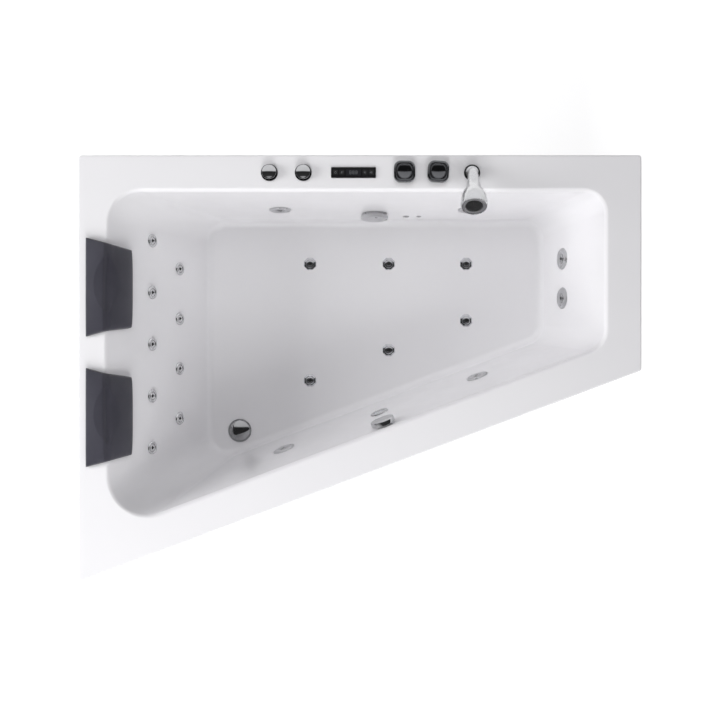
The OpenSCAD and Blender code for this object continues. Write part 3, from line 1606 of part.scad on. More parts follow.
// Place on the head side's surface after a run s from the rest's edge: x, z and its normal's direction
function rest_base(s) =
  s < deck_run ? [rest_x + s, bath_h, 90]
  : s < deck_run + lip_run ?
    let (turn = 90 - (s - deck_run) / lip_r * 180 / PI)
    [deck_flat_x + lip_r * cos(turn), bath_h - lip_r + lip_r * sin(turn), turn]
  : let (down = s - deck_run - lip_run, a = tilt[HEAD], low = lip_r * (1 - sin(a)))
    [deck_flat_x + lip_r * cos(a) + down * sin(a), bath_h - low - down * cos(a), a];
// Share of full thickness across a run from one edge to the other
function crown(t) = pow(max(0, 1 - pow(abs(2 * t - 1), 3)), 0.5);
// Point of a headrest at shares u along the run and v across it, raised by k thicknesses
function rest_point(mid_y, u, v, k) =
  let (b = rest_base(u * rest_run),
     half = (rest_l + (rest_low_l - rest_l) * (b[0] - rest_x) / rest_span) / 2,
     y = mid_y + half * (2 * v - 1),
     bulge = crown(u) * crown(v),
     dish = rest_dish * pow(sin(180 * v), 2) * pow(sin(180 * min(1, u * 1.1)), 2),
     h = rest_gap + k * (rest_edge_t + (rest_t - rest_edge_t) * bulge - dish))
  [b[0] - bow_at(y, max(lip_r, bath_h - b[1])) * sin(180 * u) + h * cos(b[2]), y, b[1] + h * sin(b[2])];
rest_gap = 0.3;
rest_span = rest_base(rest_run)[0] - rest_x;
// One headrest: rings of its section from the deck edge down to its lower edge
module headrest(mid_y) {
  color("dimgray")
    stack([for (run = rest_runs)
      let (u = run / rest_run)
      concat([for (j = [rest_cols:-1:0]) rest_point(mid_y, u, j / rest_cols, 1)],
          [for (j = [0:rest_cols]) rest_point(mid_y, u, j / rest_cols, 0)])], true);
}
module headrest_upper() headrest(rest_upper_y);
module headrest_lower() headrest(rest_lower_y);

tub_shell();
base_board();
steel_frame();
levelling_feet();
equipment_tray();
front_apron();
end_apron();
apron_clips();
panel_housing();
panel_window();
panel_key_1();
panel_key_2();
panel_key_3();
panel_key_4();
regulator_bodies();
air_knob_1();
air_knob_2();
tap_valves();
mixer_knob();
diverter_knob();
shower_sleeve();
hand_shower();
shower_face();
jet_housings();
jet_bezels();
jet_nozzle_1();
jet_nozzle_2();
jet_nozzle_3();
jet_nozzle_4();
jet_nozzle_5();
jet_nozzle_6();
back_jet_bodies();
back_jet_faces();
floor_jet_bodies();
floor_jet_caps();
suction_body();
suction_grille();
suction_pipe();
pressure_pipe();
back_jet_manifold();
venturi_air_line();
blower_air_line();
pump_housing();
pump_motor();
pump_rotor();
blower_housing();
blower_rotor();
control_box();
drain_body();
drain_plug();
drain_trap();
overflow_body();
overflow_knob();
overflow_hose();
popup_cable();
light_housing();
light_lens();
level_sensors();
headrest_upper();
headrest_lower();
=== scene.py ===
import math

import bmesh
import bpy
from mathutils import Matrix, Vector


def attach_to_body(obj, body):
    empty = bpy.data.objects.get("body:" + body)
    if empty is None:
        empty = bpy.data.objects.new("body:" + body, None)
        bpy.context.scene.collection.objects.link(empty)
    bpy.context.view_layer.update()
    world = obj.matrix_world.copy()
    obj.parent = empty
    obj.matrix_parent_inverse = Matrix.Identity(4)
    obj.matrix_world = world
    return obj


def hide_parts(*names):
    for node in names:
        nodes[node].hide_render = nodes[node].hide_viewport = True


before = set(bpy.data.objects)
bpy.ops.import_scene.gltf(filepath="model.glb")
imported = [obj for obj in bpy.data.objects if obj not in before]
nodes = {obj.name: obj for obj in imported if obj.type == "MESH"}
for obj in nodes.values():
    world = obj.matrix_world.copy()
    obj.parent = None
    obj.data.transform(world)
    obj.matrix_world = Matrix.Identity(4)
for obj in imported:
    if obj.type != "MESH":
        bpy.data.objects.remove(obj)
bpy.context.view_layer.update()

# Sizes below are in millimetres and angles in degrees, in the CAD model's own frame
MM = 0.001
ROOT = "bath"

# Sides of the bath
BACK, FOOT, FRONT, HEAD = range(4)
SLANT = 20.6299
HEADING = [90, 0, SLANT - 90, -180, -270]
RIM_OFF = [642.775, 850, 306.242, 850]
WALL_OFF = [532.775, 740, 196.242, 757]
RUN = [29, 110, 66, 237]
BATH_H = 600
DEPTH = 450
FLOOR_Z = BATH_H - DEPTH
SHELL_T = 6
LIP_R = 14
COVE_R = 28
EDGE_R = 6
SKIRT_H = 35
RIM_CORNER_R = 10
CORNER_TOP = [64, 71, 116, 96]
CORNER_FLOOR = 72
HEAD_BOW = 8
BOW_DEPTH = 110
TILT = [math.degrees(math.atan(run / DEPTH)) for run in RUN]
ROW_Y = 588.775


def sin(a):
    return math.sin(math.radians(a))


def cos(a):
    return math.cos(math.radians(a))


NORMALS = [(0, 1), (1, 0), (sin(SLANT), -cos(SLANT)), (-1, 0)]
ALONG = [(1, 0), (0, 1), (cos(SLANT), sin(SLANT)), (0, 1)]


# Chamfer of a nut as a share of its height and of its radius, and the steps of a slab's rounded edge
NUT_EDGE = 0.14
NUT_CHAMFER = 0.93
SLAB_STEPS = 4


# Shapes: a shape is a list of points and a list of faces
def lathe(profile, steps=64, turn=0.0, lobes=0, lobe=0.0):
    """Turns (radius, height) points round Z. Lobes make the radius wave where a point has a third value."""
    points, faces, rows = [], [], []
    for entry in profile:
        r, z = entry[0], entry[1]
        wave = entry[2] if len(entry) > 2 else 0
        if abs(r) < 1e-6:
            points.append((0, 0, z))
            rows.append([len(points) - 1] * steps)
            continue
        row = []
        for k in range(steps):
            a = turn + 360 * k / steps
            rr = r + wave * lobe * cos(lobes * (a - turn))
            points.append((rr * cos(a), rr * sin(a), z))
            row.append(len(points) - 1)
        rows.append(row)
    for a, b in zip(rows, rows[1:]):
        for k in range(steps):
            j = (k + 1) % steps
            loop = [a[k], a[j], b[j], b[k]]
            loop = [v for n, v in enumerate(loop) if v != loop[n - 1]]
            if len(loop) > 2:
                faces.append(tuple(loop))
    return points, faces


def loft(rings):
    """A closed skin through rings of equally many points."""
    m = len(rings[0])
    points = [tuple(p) for one in rings for p in one]
    faces = []
    last = (len(rings) - 1) * m
    for a in range(0, last, m):
        b = a + m
        for i in range(m):
            j = (i + 1) % m
            faces.append((a + i, a + j, b + j, b + i))
    faces.append(tuple(reversed(range(m))))
    faces.append(tuple(range(last, last + m)))
    return points, faces


def joined(*shapes):
    points, faces = [], []
    for p, f in shapes:
        start = len(points)
        points += list(p)
        faces += [tuple(i + start for i in face) for face in f]
    return points, faces


def moved(shape, matrix):
    return [tuple(matrix @ Vector(p)) for p in shape[0]], shape[1]


def shifted(shape, x=0, y=0, z=0):
    return moved(shape, Matrix.Translation((x, y, z)))


def turned(shape, angle):
    return moved(shape, Matrix.Rotation(math.radians(angle), 4, "Z"))


def arc(cx, cz, r, start, end, steps):
    """Points of an arc about (cx, cz), from one angle to another."""
    return [(cx + r * cos(start + (end - start) * k / steps),
            cz + r * sin(start + (end - start) * k / steps)) for k in range(steps + 1)]


def smooth_line(points, steps):
    """A rounder line through points."""
    out = []
    n = len(points)
    for i in range(n - 1):
        p0, p1, p2, p3 = (points[max(i - 1, 0)], points[i], points[i + 1], points[min(i + 2, n - 1)])
        for k in range(steps):
            t = k / steps
            out.append(tuple(
                0.5 * (2 * b + (c - a) * t + (2 * a - 5 * b + 4 * c - d) * t * t
                    + (3 * b - a - 3 * c + d) * t ** 3)
                for a, b, c, d in zip(p0, p1, p2, p3)))
    out.append(tuple(points[-1]))
    return out


def thread(r, low, high, pitch=3.0, cut=1.1):
    """Outline of a threaded bar between two heights, upwards."""
    count = max(1, round((high - low) / pitch))
    step = (high - low) / count
    line = []
    for k in range(count):
        z = low + k * step
        line += [(r - cut, z), (r, z + step * 0.35), (r, z + step * 0.5), (r - cut, z + step * 0.85)]
    return line + [(r - cut, high)]


def rounded_outline(l, w, r, steps=8, bulge=0.0):
    """Outline of a rounded rectangle, its sides bulging by a few millimetres."""
    out = []
    side = 10
    cx, cy = l / 2 - r, w / 2 - r
    centres = [(cx, cy), (-cx, cy), (-cx, -cy), (cx, -cy)]
    for i, (x, y) in enumerate(centres):
        for k in range(steps + 1):
            a = 90 * i + 90 * k / steps
            out.append((x + r * cos(a), y + r * sin(a)))
        if bulge:
            nx, ny = centres[(i + 1) % 4]
            a = 90 * (i + 1)
            p = (x + r * cos(a), y + r * sin(a))
            q = (nx + r * cos(a), ny + r * sin(a))
            for k in range(1, side):
                t = k / side
                out.append((p[0] + (q[0] - p[0]) * t, p[1] + (q[1] - p[1]) * t))
    if bulge:
        half = max(l, w) / 2
        out = [(x + x / half * bulge * max(0, 1 - (y / half) ** 2) * (abs(x) / half) ** 3,
                y + y / half * bulge * max(0, 1 - (x / half) ** 2) * (abs(y) / half) ** 3) for x, y in out]
    return out


def inset_outline(outline, d):
    """The outline drawn in by d along its own normals."""
    out = []
    n = len(outline)
    for i, (x, y) in enumerate(outline):
        ax, ay = outline[i - 1]
        bx, by = outline[(i + 1) % n]
        tx, ty = bx - ax, by - ay
        length = math.hypot(tx, ty) or 1
        out.append((x - ty / length * d, y + tx / length * d))
    return out


def slab(outline, low, high, edge=0.0):
    """An upright block on an outline, its upper edge rounded."""
    rings = [[(x, y, low) for x, y in outline]]
    if edge:
        for k in range(SLAB_STEPS + 1):
            a = 90 * k / SLAB_STEPS
            z = high - edge * (1 - sin(a))
            rings.append([(x, y, z) for x, y in inset_outline(outline, edge * (1 - cos(a)))])
    else:
        rings.append([(x, y, high) for x, y in outline])
    return loft(rings)


def hexagon(low, high, r, bore=0):
    """A six-sided nut with chamfered corners, solid or round a pipe."""
    edge, chamfer = (high - low) * NUT_EDGE, r * NUT_CHAMFER
    line = [(bore, low), (chamfer, low), (r, low + edge), (r, high - edge), (chamfer, high), (bore, high)]
    return lathe(line, 6, 30)


def tube(path, radii, steps=32):
    """A round skin along a line of points, with a radius at each."""
    rings = []
    points = [Vector(p) for p in path]
    for i, p in enumerate(points):
        direction = (points[min(i + 1, len(points) - 1)] - points[max(i - 1, 0)]).normalized()
        side = direction.cross(Vector((1, 0, 0))).normalized()
        other = direction.cross(side)
        r = radii[i]
        rings.append([tuple(p + side * (r * cos(360 * k / steps)) + other * (r * sin(360 * k / steps)))
                for k in range(steps)])
    return loft(rings)


# Pieces: a shape becomes an object with its material, which rides on a body
def new_object(name, shape):
    """An object with the mesh of a shape, which goes from millimetres to metres."""
    points, faces = shape
    mesh = bpy.data.meshes.new(name)
    mesh.from_pydata([(x * MM, y * MM, z * MM) for x, y, z in points], [], faces)
    obj = bpy.data.objects.new(name, mesh)
    bpy.context.scene.collection.objects.link(obj)
    return obj


def piece(name, shape, material, body=ROOT, replaces=None, angle=32, weighted=True):
    """Makes one piece with its material on a body, and hides the CAD node it replaces."""
    obj = new_object(name, shape)
    obj.data.validate()
    dress(obj, angle, weighted)
    obj.data.materials.append(made[material])
    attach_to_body(obj, body)
    if replaces:
        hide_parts(replaces)
    return obj


def shade(obj, angle, weighted=True):
    """Smooth faces, sharp edges by angle and normals weighted by face area."""
    for polygon in obj.data.polygons:
        polygon.use_smooth = True
    obj.data.set_sharp_from_angle(angle=math.radians(angle))
    if weighted:
        add = obj.modifiers.new("normals", "WEIGHTED_NORMAL")
        add.mode = "FACE_AREA"
        add.keep_sharp = True


def dress(obj, angle=32, weighted=True):
    """Welds a fresh mesh, turns its faces outwards and shades it."""
    bm = bmesh.new()
    bm.from_mesh(obj.data)
    bmesh.ops.remove_doubles(bm, verts=bm.verts, dist=1e-6)
    bmesh.ops.recalc_face_normals(bm, faces=bm.faces)
    bm.to_mesh(obj.data)
    bm.free()
    shade(obj, angle, weighted)


def attach(child, parent):
    """Makes one piece follow another."""
    child.parent = parent
    child.matrix_parent_inverse = parent.matrix_world.inverted()


def cut_out(obj, cutters):
    """Takes shapes away from an object."""
    tool = new_object("cutter", joined(*cutters))
    dress(tool, weighted=False)
    add = obj.modifiers.new("holes", "BOOLEAN")
    add.operation = "DIFFERENCE"
    add.solver = "EXACT"
    add.object = tool
    bpy.context.view_layer.update()
    graph = bpy.context.evaluated_depsgraph_get()
    opened = bpy.data.meshes.new_from_object(obj.evaluated_get(graph))
    obj.modifiers.clear()
    whole, cutter = obj.data, tool.data
    obj.data = opened
    bpy.data.objects.remove(tool)
    bpy.data.meshes.remove(whole)
    bpy.data.meshes.remove(cutter)


# Materials
def rgb(r, g=None, b=None):
    return (r, r if g is None else g, r if b is None else b, 1.0)


class Surface:
    """A Principled material whose colour, roughness and relief come from procedural textures."""

    def __init__(self, name, metallic=0.0, coat=0.0, coat_rough=0.05, specular=0.5, sheen=0.0):
        self.material = bpy.data.materials.new(name)
        self.material.use_nodes = True
        self.tree = self.material.node_tree
        self.shader = self.tree.nodes["Principled BSDF"]
        self.shader.inputs["Metallic"].default_value = metallic
        self.shader.inputs["Coat Weight"].default_value = coat
        self.shader.inputs["Coat Roughness"].default_value = coat_rough
        self.shader.inputs["Specular IOR Level"].default_value = specular
        self.shader.inputs["Sheen Weight"].default_value = sheen
        self.place = self.add("ShaderNodeTexCoord").outputs["Object"]

    def add(self, kind, **settings):
        node = self.tree.nodes.new(kind)
        for key, value in settings.items():
            setattr(node, key, value)
        return node

    def link(self, a, b):
        self.tree.links.new(a, b)

    def mapping(self, scale):
        node = self.add("ShaderNodeMapping")
        node.inputs["Scale"].default_value = scale
        self.link(self.place, node.inputs["Vector"])
        return node.outputs["Vector"]

    def noise(self, scale, detail=3.0, rough=0.5, stretch=None):
        node = self.add("ShaderNodeTexNoise")
        node.inputs["Scale"].default_value = scale
        node.inputs["Detail"].default_value = detail
        node.inputs["Roughness"].default_value = rough
        self.link(self.mapping(stretch) if stretch else self.place, node.inputs["Vector"])
        return node.outputs["Fac"]

    def cells(self, scale, output="Color", stretch=None):
        node = self.add("ShaderNodeTexVoronoi")
        node.inputs["Scale"].default_value = scale
        self.link(self.mapping(stretch) if stretch else self.place, node.inputs["Vector"])
        return node.outputs[output]

    def ramp(self, factor, *stops):
        node = self.add("ShaderNodeValToRGB")
        bar = node.color_ramp.elements
        bar[0].position, bar[0].color = stops[0]
        bar[1].position, bar[1].color = stops[-1]
        for position, colour in stops[1:-1]:
            bar.new(position).color = colour
        self.link(factor, node.inputs["Fac"])
        return node.outputs["Color"]

    def spread(self, factor, low, high, from_low=0.3, from_high=0.7):
        node = self.add("ShaderNodeMapRange")
        node.inputs["From Min"].default_value = from_low
        node.inputs["From Max"].default_value = from_high
        node.inputs["To Min"].default_value = low
        node.inputs["To Max"].default_value = high
        self.link(factor, node.inputs["Value"])
        return node.outputs["Result"]

    def plus(self, a, b):
        node = self.add("ShaderNodeMath", operation="ADD")
        self.link(a, node.inputs[0])
        self.link(b, node.inputs[1])
        return node.outputs[0]

    def colour(self, source):
        self.link(source, self.shader.inputs["Base Color"])

    def rough(self, source):
        self.link(source, self.shader.inputs["Roughness"])

    def relief(self, source, strength, distance):
        node = self.add("ShaderNodeBump")
        node.inputs["Strength"].default_value = strength
        node.inputs["Distance"].default_value = distance
        self.link(source, node.inputs["Height"])
        self.link(node.outputs["Normal"], self.shader.inputs["Normal"])


def plain(name, low, high, rough, scale, bump, patch=6.0, **more):
    """Mottled colour, uneven roughness and a fine relief."""
    s = Surface(name, **more)
    s.colour(s.ramp(s.noise(patch, 4.0), (0.3, low), (0.7, high)))
    s.rough(s.spread(s.noise(scale * 0.35, 3.0), *rough))
    s.relief(s.noise(scale, 4.0, 0.6), bump, 0.0002)
    return s.material


def acrylic(name, low=(0.866, 0.86, 0.878), high=(0.884, 0.879, 0.894)):
    """Cast white acrylic: high gloss with a barely visible orange peel and soft wipe marks."""
    s = Surface(name, coat=0.25, coat_rough=0.06, specular=0.5)
    s.colour(s.ramp(s.noise(2.2, 3.0), (0.25, rgb(*low)), (0.75, rgb(*high))))
    wipe = s.noise(7.0, 4.0, 0.6, stretch=(1.0, 2.5, 1.0))
    s.rough(s.spread(wipe, 0.2, 0.27))
    s.relief(s.noise(16.0, 2.0, 0.4), 0.02, 0.0003)
    return s.material


def chrome(name, level, tint, rough, dull=0.0, bump=0.03):
    """Plated metal or plastic with faint smears and water marks."""
    s = Surface(name, metallic=1.0, specular=0.5)
    dark = rgb(*(level * t * (1 - dull) for t in tint))
    bright = rgb(*(level * t for t in tint))
    s.colour(s.ramp(s.noise(28.0, 5.0, 0.6), (0.35, dark), (0.62, bright)))
    s.rough(s.spread(s.noise(60.0, 5.0, 0.65), *rough))
    s.relief(s.noise(180.0, 3.0), bump, 0.0001)
    return s.material


def galvanised():
    """Zinc-coated steel: spangle crystals of different greys and gloss."""
    s = Surface("galvanised_steel", metallic=0.9)
    cell = s.cells(95.0)
    level = s.add("ShaderNodeSeparateColor")
    s.link(cell, level.inputs["Color"])
    s.colour(s.ramp(level.outputs["Red"], (0.1, rgb(0.36, 0.375, 0.39)), (0.55, rgb(0.5, 0.51, 0.52)),
            (0.95, rgb(0.63, 0.64, 0.65))))
    s.rough(s.spread(level.outputs["Green"], 0.34, 0.56, 0.0, 1.0))
    s.relief(s.noise(240.0, 4.0), 0.12, 0.0002)
    return s.material


def particle_board():
    """Pressed wood chips in tan resin."""
    s = Surface("chip_board", specular=0.3)
    chips = s.cells(170.0, stretch=(1.0, 0.5, 1.0))
    split = s.add("ShaderNodeSeparateColor")
    s.link(chips, split.inputs["Color"])
    s.colour(s.ramp(split.outputs["Red"], (0.0, rgb(0.2, 0.115, 0.055)), (0.35, rgb(0.38, 0.25, 0.135)),
            (0.7, rgb(0.52, 0.37, 0.22)), (1.0, rgb(0.64, 0.5, 0.33))))
    s.rough(s.spread(split.outputs["Blue"], 0.62, 0.85, 0.0, 1.0))
    s.relief(s.noise(300.0, 5.0, 0.7), 0.45, 0.0006)
    return s.material


def headrest_skin():
    """Moulded polyurethane skin: fine pebbled grain with a satin shine, paler where it is rubbed."""
    s = Surface("headrest_skin", specular=0.42, sheen=0.1)
    s.shader.inputs["Sheen Roughness"].default_value = 0.45
    s.colour(s.ramp(s.noise(7.0, 5.0, 0.6), (0.3, rgb(0.042, 0.041, 0.054)),
            (0.7, rgb(0.054, 0.053, 0.068))))
    grain = s.cells(900.0, "Distance")
    coarse = s.noise(420.0, 3.0)
    s.rough(s.spread(s.noise(18.0, 4.0), 0.4, 0.5))
    s.relief(s.plus(grain, coarse), 0.3, 0.0004)
    return s.material


def ribbed_hose():
    """Grey hose with close rings."""
    s = Surface("hose_plastic", specular=0.4)
    wave = s.add("ShaderNodeTexWave", bands_direction="Z", wave_type="BANDS")
    wave.inputs["Scale"].default_value = 60.0
    s.link(s.place, wave.inputs["Vector"])
    s.colour(s.ramp(s.noise(12.0, 3.0), (0.3, rgb(0.30, 0.31, 0.33)), (0.7, rgb(0.38, 0.39, 0.41))))
    s.rough(s.spread(s.noise(40.0), 0.42, 0.6))
    s.relief(wave.outputs["Fac"], 0.5, 0.0012)
    return s.material


def lens_glass():
    """Frosted clear lens, seen as pale blue-grey plastic over a reflector."""
    s = Surface("lens_glass", specular=0.6, coat=0.6, coat_rough=0.02)
    s.colour(s.ramp(s.noise(60.0, 2.0), (0.3, rgb(0.5, 0.54, 0.58)), (0.7, rgb(0.66, 0.69, 0.72))))
    s.rough(s.spread(s.noise(90.0), 0.08, 0.2))
    s.relief(s.cells(320.0, "Distance"), 0.25, 0.0005)
    return s.material


CHROME = (0.985, 0.99, 1.0)
made = {
    "acrylic": acrylic("gloss_acrylic"),
    "particle_board": particle_board(),
    "galvanised": galvanised(),
    "foot_rubber": plain("foot_rubber", rgb(0.018), rgb(0.034), (0.6, 0.8), 260, 0.4, patch=20),
    # The aprons take a darker copy of the white acrylic: painted shade that keeps their brightly lit faces
    # from burning out.
    "apron_acrylic": acrylic("apron_acrylic", (0.6, 0.598, 0.612), (0.64, 0.638, 0.652)),
    "panel_black": plain("panel_gloss_black", rgb(0.006, 0.006, 0.0065), rgb(0.009, 0.009, 0.01),
            (0.05, 0.1), 90, 0.02, coat=0.3, coat_rough=0.02),
    "panel_display": plain("panel_display", rgb(0.012, 0.012, 0.014), rgb(0.019, 0.019, 0.022),
            (0.08, 0.14), 200, 0.03),
    "panel_keys": plain("panel_keys", rgb(0.01), rgb(0.015), (0.2, 0.3), 300, 0.12),
    "regulator_dark": chrome("dark_plating", 0.075, (1.0, 1.0, 1.06), (0.12, 0.24)),
    "plated_plastic": chrome("plated_plastic", 0.74, CHROME, (0.1, 0.2), 0.06),
    "satin_plastic": plain("satin_plating", rgb(0.5, 0.5, 0.515), rgb(0.58, 0.58, 0.595), (0.26, 0.38),
            120, 0.05, metallic=0.55),
    "tap_body": chrome("brass_body", 0.52, (1.0, 0.9, 0.66), (0.28, 0.46), 0.15, bump=0.12),
    # Polished chrome handles with a dark base colour: painted shade for the dark surroundings they mirror;
    # the world's dark band adds real dark reflections as well.
    "tap_chrome": chrome("chrome_painted_dark", 0.17, (0.97, 0.985, 1.03), (0.07, 0.15), 0.12),
    "sleeve_chrome": chrome("sleeve_chrome", 0.62, CHROME, (0.07, 0.15), 0.05),
    "shower_satin": chrome("satin_chrome", 0.74, CHROME, (0.24, 0.34), 0.05, bump=0.05),
    "shower_face_dark": plain("shower_face", rgb(0.006), rgb(0.012), (0.3, 0.45), 160, 0.1, specular=0.25),
    "dish_chrome": chrome("dish_chrome", 0.27, CHROME, (0.16, 0.28), 0.1),
    "jet_body_plastic": plain("jet_body_plastic", rgb(0.56, 0.57, 0.58), rgb(0.66, 0.67, 0.68),
            (0.38, 0.55), 140, 0.1),
    "nozzle_plated": chrome("nozzle_plating", 0.6, CHROME, (0.14, 0.26), 0.08),
    "floor_cap_dark": chrome("cap_plating", 0.66, (0.98, 0.985, 1.02), (0.07, 0.15), 0.1),
    "pipe_white": plain("pipe_white", rgb(0.70, 0.71, 0.71), rgb(0.78, 0.785, 0.78), (0.3, 0.45), 90, 0.08),
    "air_pipe": plain("air_pipe", rgb(0.42, 0.45, 0.47), rgb(0.52, 0.55, 0.57), (0.25, 0.4), 90, 0.08),
    "pump_black": plain("pump_black", rgb(0.02), rgb(0.034), (0.42, 0.6), 220, 0.25),
    "motor_paint": plain("motor_paint", rgb(0.045, 0.075, 0.13), rgb(0.06, 0.095, 0.16), (0.4, 0.55), 180,
            0.2),
    "rotor_steel": chrome("rotor_steel", 0.5, CHROME, (0.2, 0.4), 0.2),
    "blower_plastic": plain("blower_plastic", rgb(0.03), rgb(0.045), (0.4, 0.58), 240, 0.25),
    "box_plastic": plain("box_plastic", rgb(0.42, 0.43, 0.43), rgb(0.5, 0.505, 0.5), (0.45, 0.6), 300, 0.2),
    "drain_chrome": plain("drain_plating", rgb(0.4, 0.4, 0.415), rgb(0.5, 0.5, 0.515), (0.24, 0.36), 120,
            0.05, metallic=0.5),
    "plug_chrome": chrome("plug_chrome", 0.42, CHROME, (0.05, 0.13), 0.15),
    "knob_chrome": chrome("knob_chrome", 0.64, CHROME, (0.04, 0.1), 0.12),
    "hose_grey": ribbed_hose(),
    "cable_black": plain("cable_black", rgb(0.02), rgb(0.03), (0.4, 0.6), 260, 0.15),
    "lens": lens_glass(),
    "headrest_pu": headrest_skin(),
    # deep_hole is near-black: painted shade in bores, grooves and behind the suction slots, and also the
    # rubber colour of the shower's nozzle tips.
    "deep_hole": plain("deep_hole", rgb(0.004), rgb(0.008), (0.5, 0.7), 150, 0.05),
    "panel_marks": plain("panel_marks", rgb(0.16, 0.17, 0.18), rgb(0.22, 0.23, 0.24), (0.35, 0.5), 200,
            0.05),
}

# Every CAD node that stays takes its slot's material
for node in nodes.values():
    for place in node.material_slots:
        key = place.material.name.split(".")[0] if place.material else ""
        if key in made:
            place.material = made[key]


# The basin's outline at each height
def crossing(i, a, b):
    n, m = NORMALS[i], NORMALS[(i + 1) % 4]
    det = n[0] * m[1] - n[1] * m[0]
    return ((a * m[1] - b * n[1]) / det, (b * n[0] - a * m[0]) / det)


ARC_STEPS = 20
BOW_STEPS = 16


def ring(offs, radii, heights, bow):
    """One closed outline of four sides with rounded corners, with a height at each side."""
    out = []
    for i in range(4):
        j = (i + 1) % 4
        r = radii[i]
        c = crossing(i, offs[i] - r, offs[j] - r)
        for k in range(ARC_STEPS + 1):
            s = k / ARC_STEPS
            t = HEADING[i] + (HEADING[i + 1] - HEADING[i]) * s
            share = s * s * (3 - 2 * s)
            out.append((c[0] + r * cos(t), c[1] + r * sin(t),
                    heights[i] + (heights[j] - heights[i]) * share))
        if i == FRONT:
            y1 = crossing(2, offs[2] - radii[2], offs[3] - radii[2])[1]
            y2 = crossing(3, offs[3] - radii[3], offs[0] - radii[3])[1]
            for k in range(1, BOW_STEPS):
                s = k / BOW_STEPS
                out.append((-offs[3] - bow * (1 - (2 * s - 1) ** 2), y1 + (y2 - y1) * s, heights[3]))
    return out


def bow_at_depth(d):
    return HEAD_BOW * max(0.0, 1 - d / BOW_DEPTH) ** 2


def radii_at(share, outward):
    return [CORNER_TOP[i] + (CORNER_FLOOR - CORNER_TOP[i]) * share + outward for i in range(4)]


def wall_ring(d, skin):
    """The walls at a depth, moved outward by a thickness of skin."""
    share = d / DEPTH
    offs = [WALL_OFF[i] - RUN[i] * share + skin / cos(TILT[i]) for i in range(4)]
    return ring(offs, radii_at(share, skin), [BATH_H - d] * 4, bow_at_depth(d))


def lip_ring(s, skin):
    """The rounded lip from the deck at s 0 to the wall at s 1."""
    share = LIP_R / DEPTH
    r = LIP_R - skin
    offs, heights = [], []
    for i in range(4):
        a = 90 - s * (90 - TILT[i])
        middle = WALL_OFF[i] - RUN[i] * share + LIP_R / cos(TILT[i])
        offs.append(middle - r * cos(a))
        heights.append(BATH_H - LIP_R + r * sin(a))
    outward = LIP_R - r * cos(90 * (1 - s))
    return ring(offs, radii_at(share, outward), heights, bow_at_depth(LIP_R))


def cove_ring(s, skin):
    """The rounded foot of the walls from the wall at s 0 to the floor at s 1."""
    share = (DEPTH - COVE_R) / DEPTH
    r = COVE_R + skin
    offs, heights = [], []
    for i in range(4):
        a = TILT[i] + s * (90 - TILT[i])
        middle = WALL_OFF[i] - RUN[i] * share - COVE_R / cos(TILT[i])
        offs.append(middle + r * cos(a))
        heights.append(FLOOR_Z + COVE_R - r * sin(a))
    outward = r * cos(90 * s) - COVE_R
    return ring(offs, radii_at(share, outward), heights, 0)


def rim_ring(inward, z):
    return ring([off - inward for off in RIM_OFF], [RIM_CORNER_R - inward] * 4, [z] * 4, 0)


def steps(count):
    return [k / count for k in range(count + 1)]


WALL_DEPTHS = [26, 34, 43, 52, 62, 72, 83, 95, 108, 130, 170, 230, 300, 360, 400]
LIP_STEPS = 10
COVE_STEPS = 12


def wall_matrix(side, u, depth):
    """Places a shape on a wall: its Z points into the basin and its X down the wall."""
    off = WALL_OFF[side] - RUN[side] * depth / DEPTH
    n, a = NORMALS[side], ALONG[side]
    place = Matrix.Translation((n[0] * off + a[0] * u, n[1] * off + a[1] * u, BATH_H - depth))
    heading = Matrix.Rotation(math.radians(HEADING[side] + 180), 4, "Z")
    lean = Matrix.Rotation(math.radians(90 - TILT[side]), 4, "Y")
    return place @ heading @ lean


BACK_PITCH = 165
JETS = [(BACK, -260, 255), (BACK, 356, 255), (FOOT, 359, 290), (FOOT, 229, 290), (FRONT, 346, 235),
        (FRONT, -324, 235)]
BACK_JETS = [(75 + k * BACK_PITCH, 179) for k in (-2, -1, 0, 1, 2)]
BACK_JETS += [(79 + k * BACK_PITCH, 303) for k in (-1.5, -0.5, 0.5, 1.5)]
FLOOR_JETS = [(-172, 357), (100, 357), (368, 357), (368, 161), (100, 59), (-172, -46)]
SENSORS = [(156, 11.0), (199, 8.5)]
SENSOR_DEPTH = 365
DRAIN = (-415, -219)
SUCTION = (BACK, 49, 315)
OVERFLOW = (FRONT, 8, 48)
LIGHT = (FRONT, 8, 245)
REGULATORS = [-272, -170]
TAPS = [(134, 0.0), (235, -4.0)]
TAP_RISE = 4.3
SHOWER_X = 338
PANEL_X = -19


def peg(x, y, low, high, r):
    return shifted(lathe([(0, low), (r, low), (r, high), (0, high)]), x, y)


JET_HOLE_R = 26.4
SMALL_HOLE_R = 10.4
SUCTION_HOLE_R = 38.4
SENSOR_HOLE_R = 5.4
OVERFLOW_HOLE_R = 24.4
LIGHT_HOLE_R = 22.4
REGULATOR_HOLE_R = 16.5
TAP_HOLE_R = 18.5
SHOWER_HOLE_R = 17.5
HOLE_REACH = 12


def wall_hole(r, side, u, depth):
    return moved(peg(0, 0, -HOLE_REACH, HOLE_REACH, r), wall_matrix(side, u, depth))


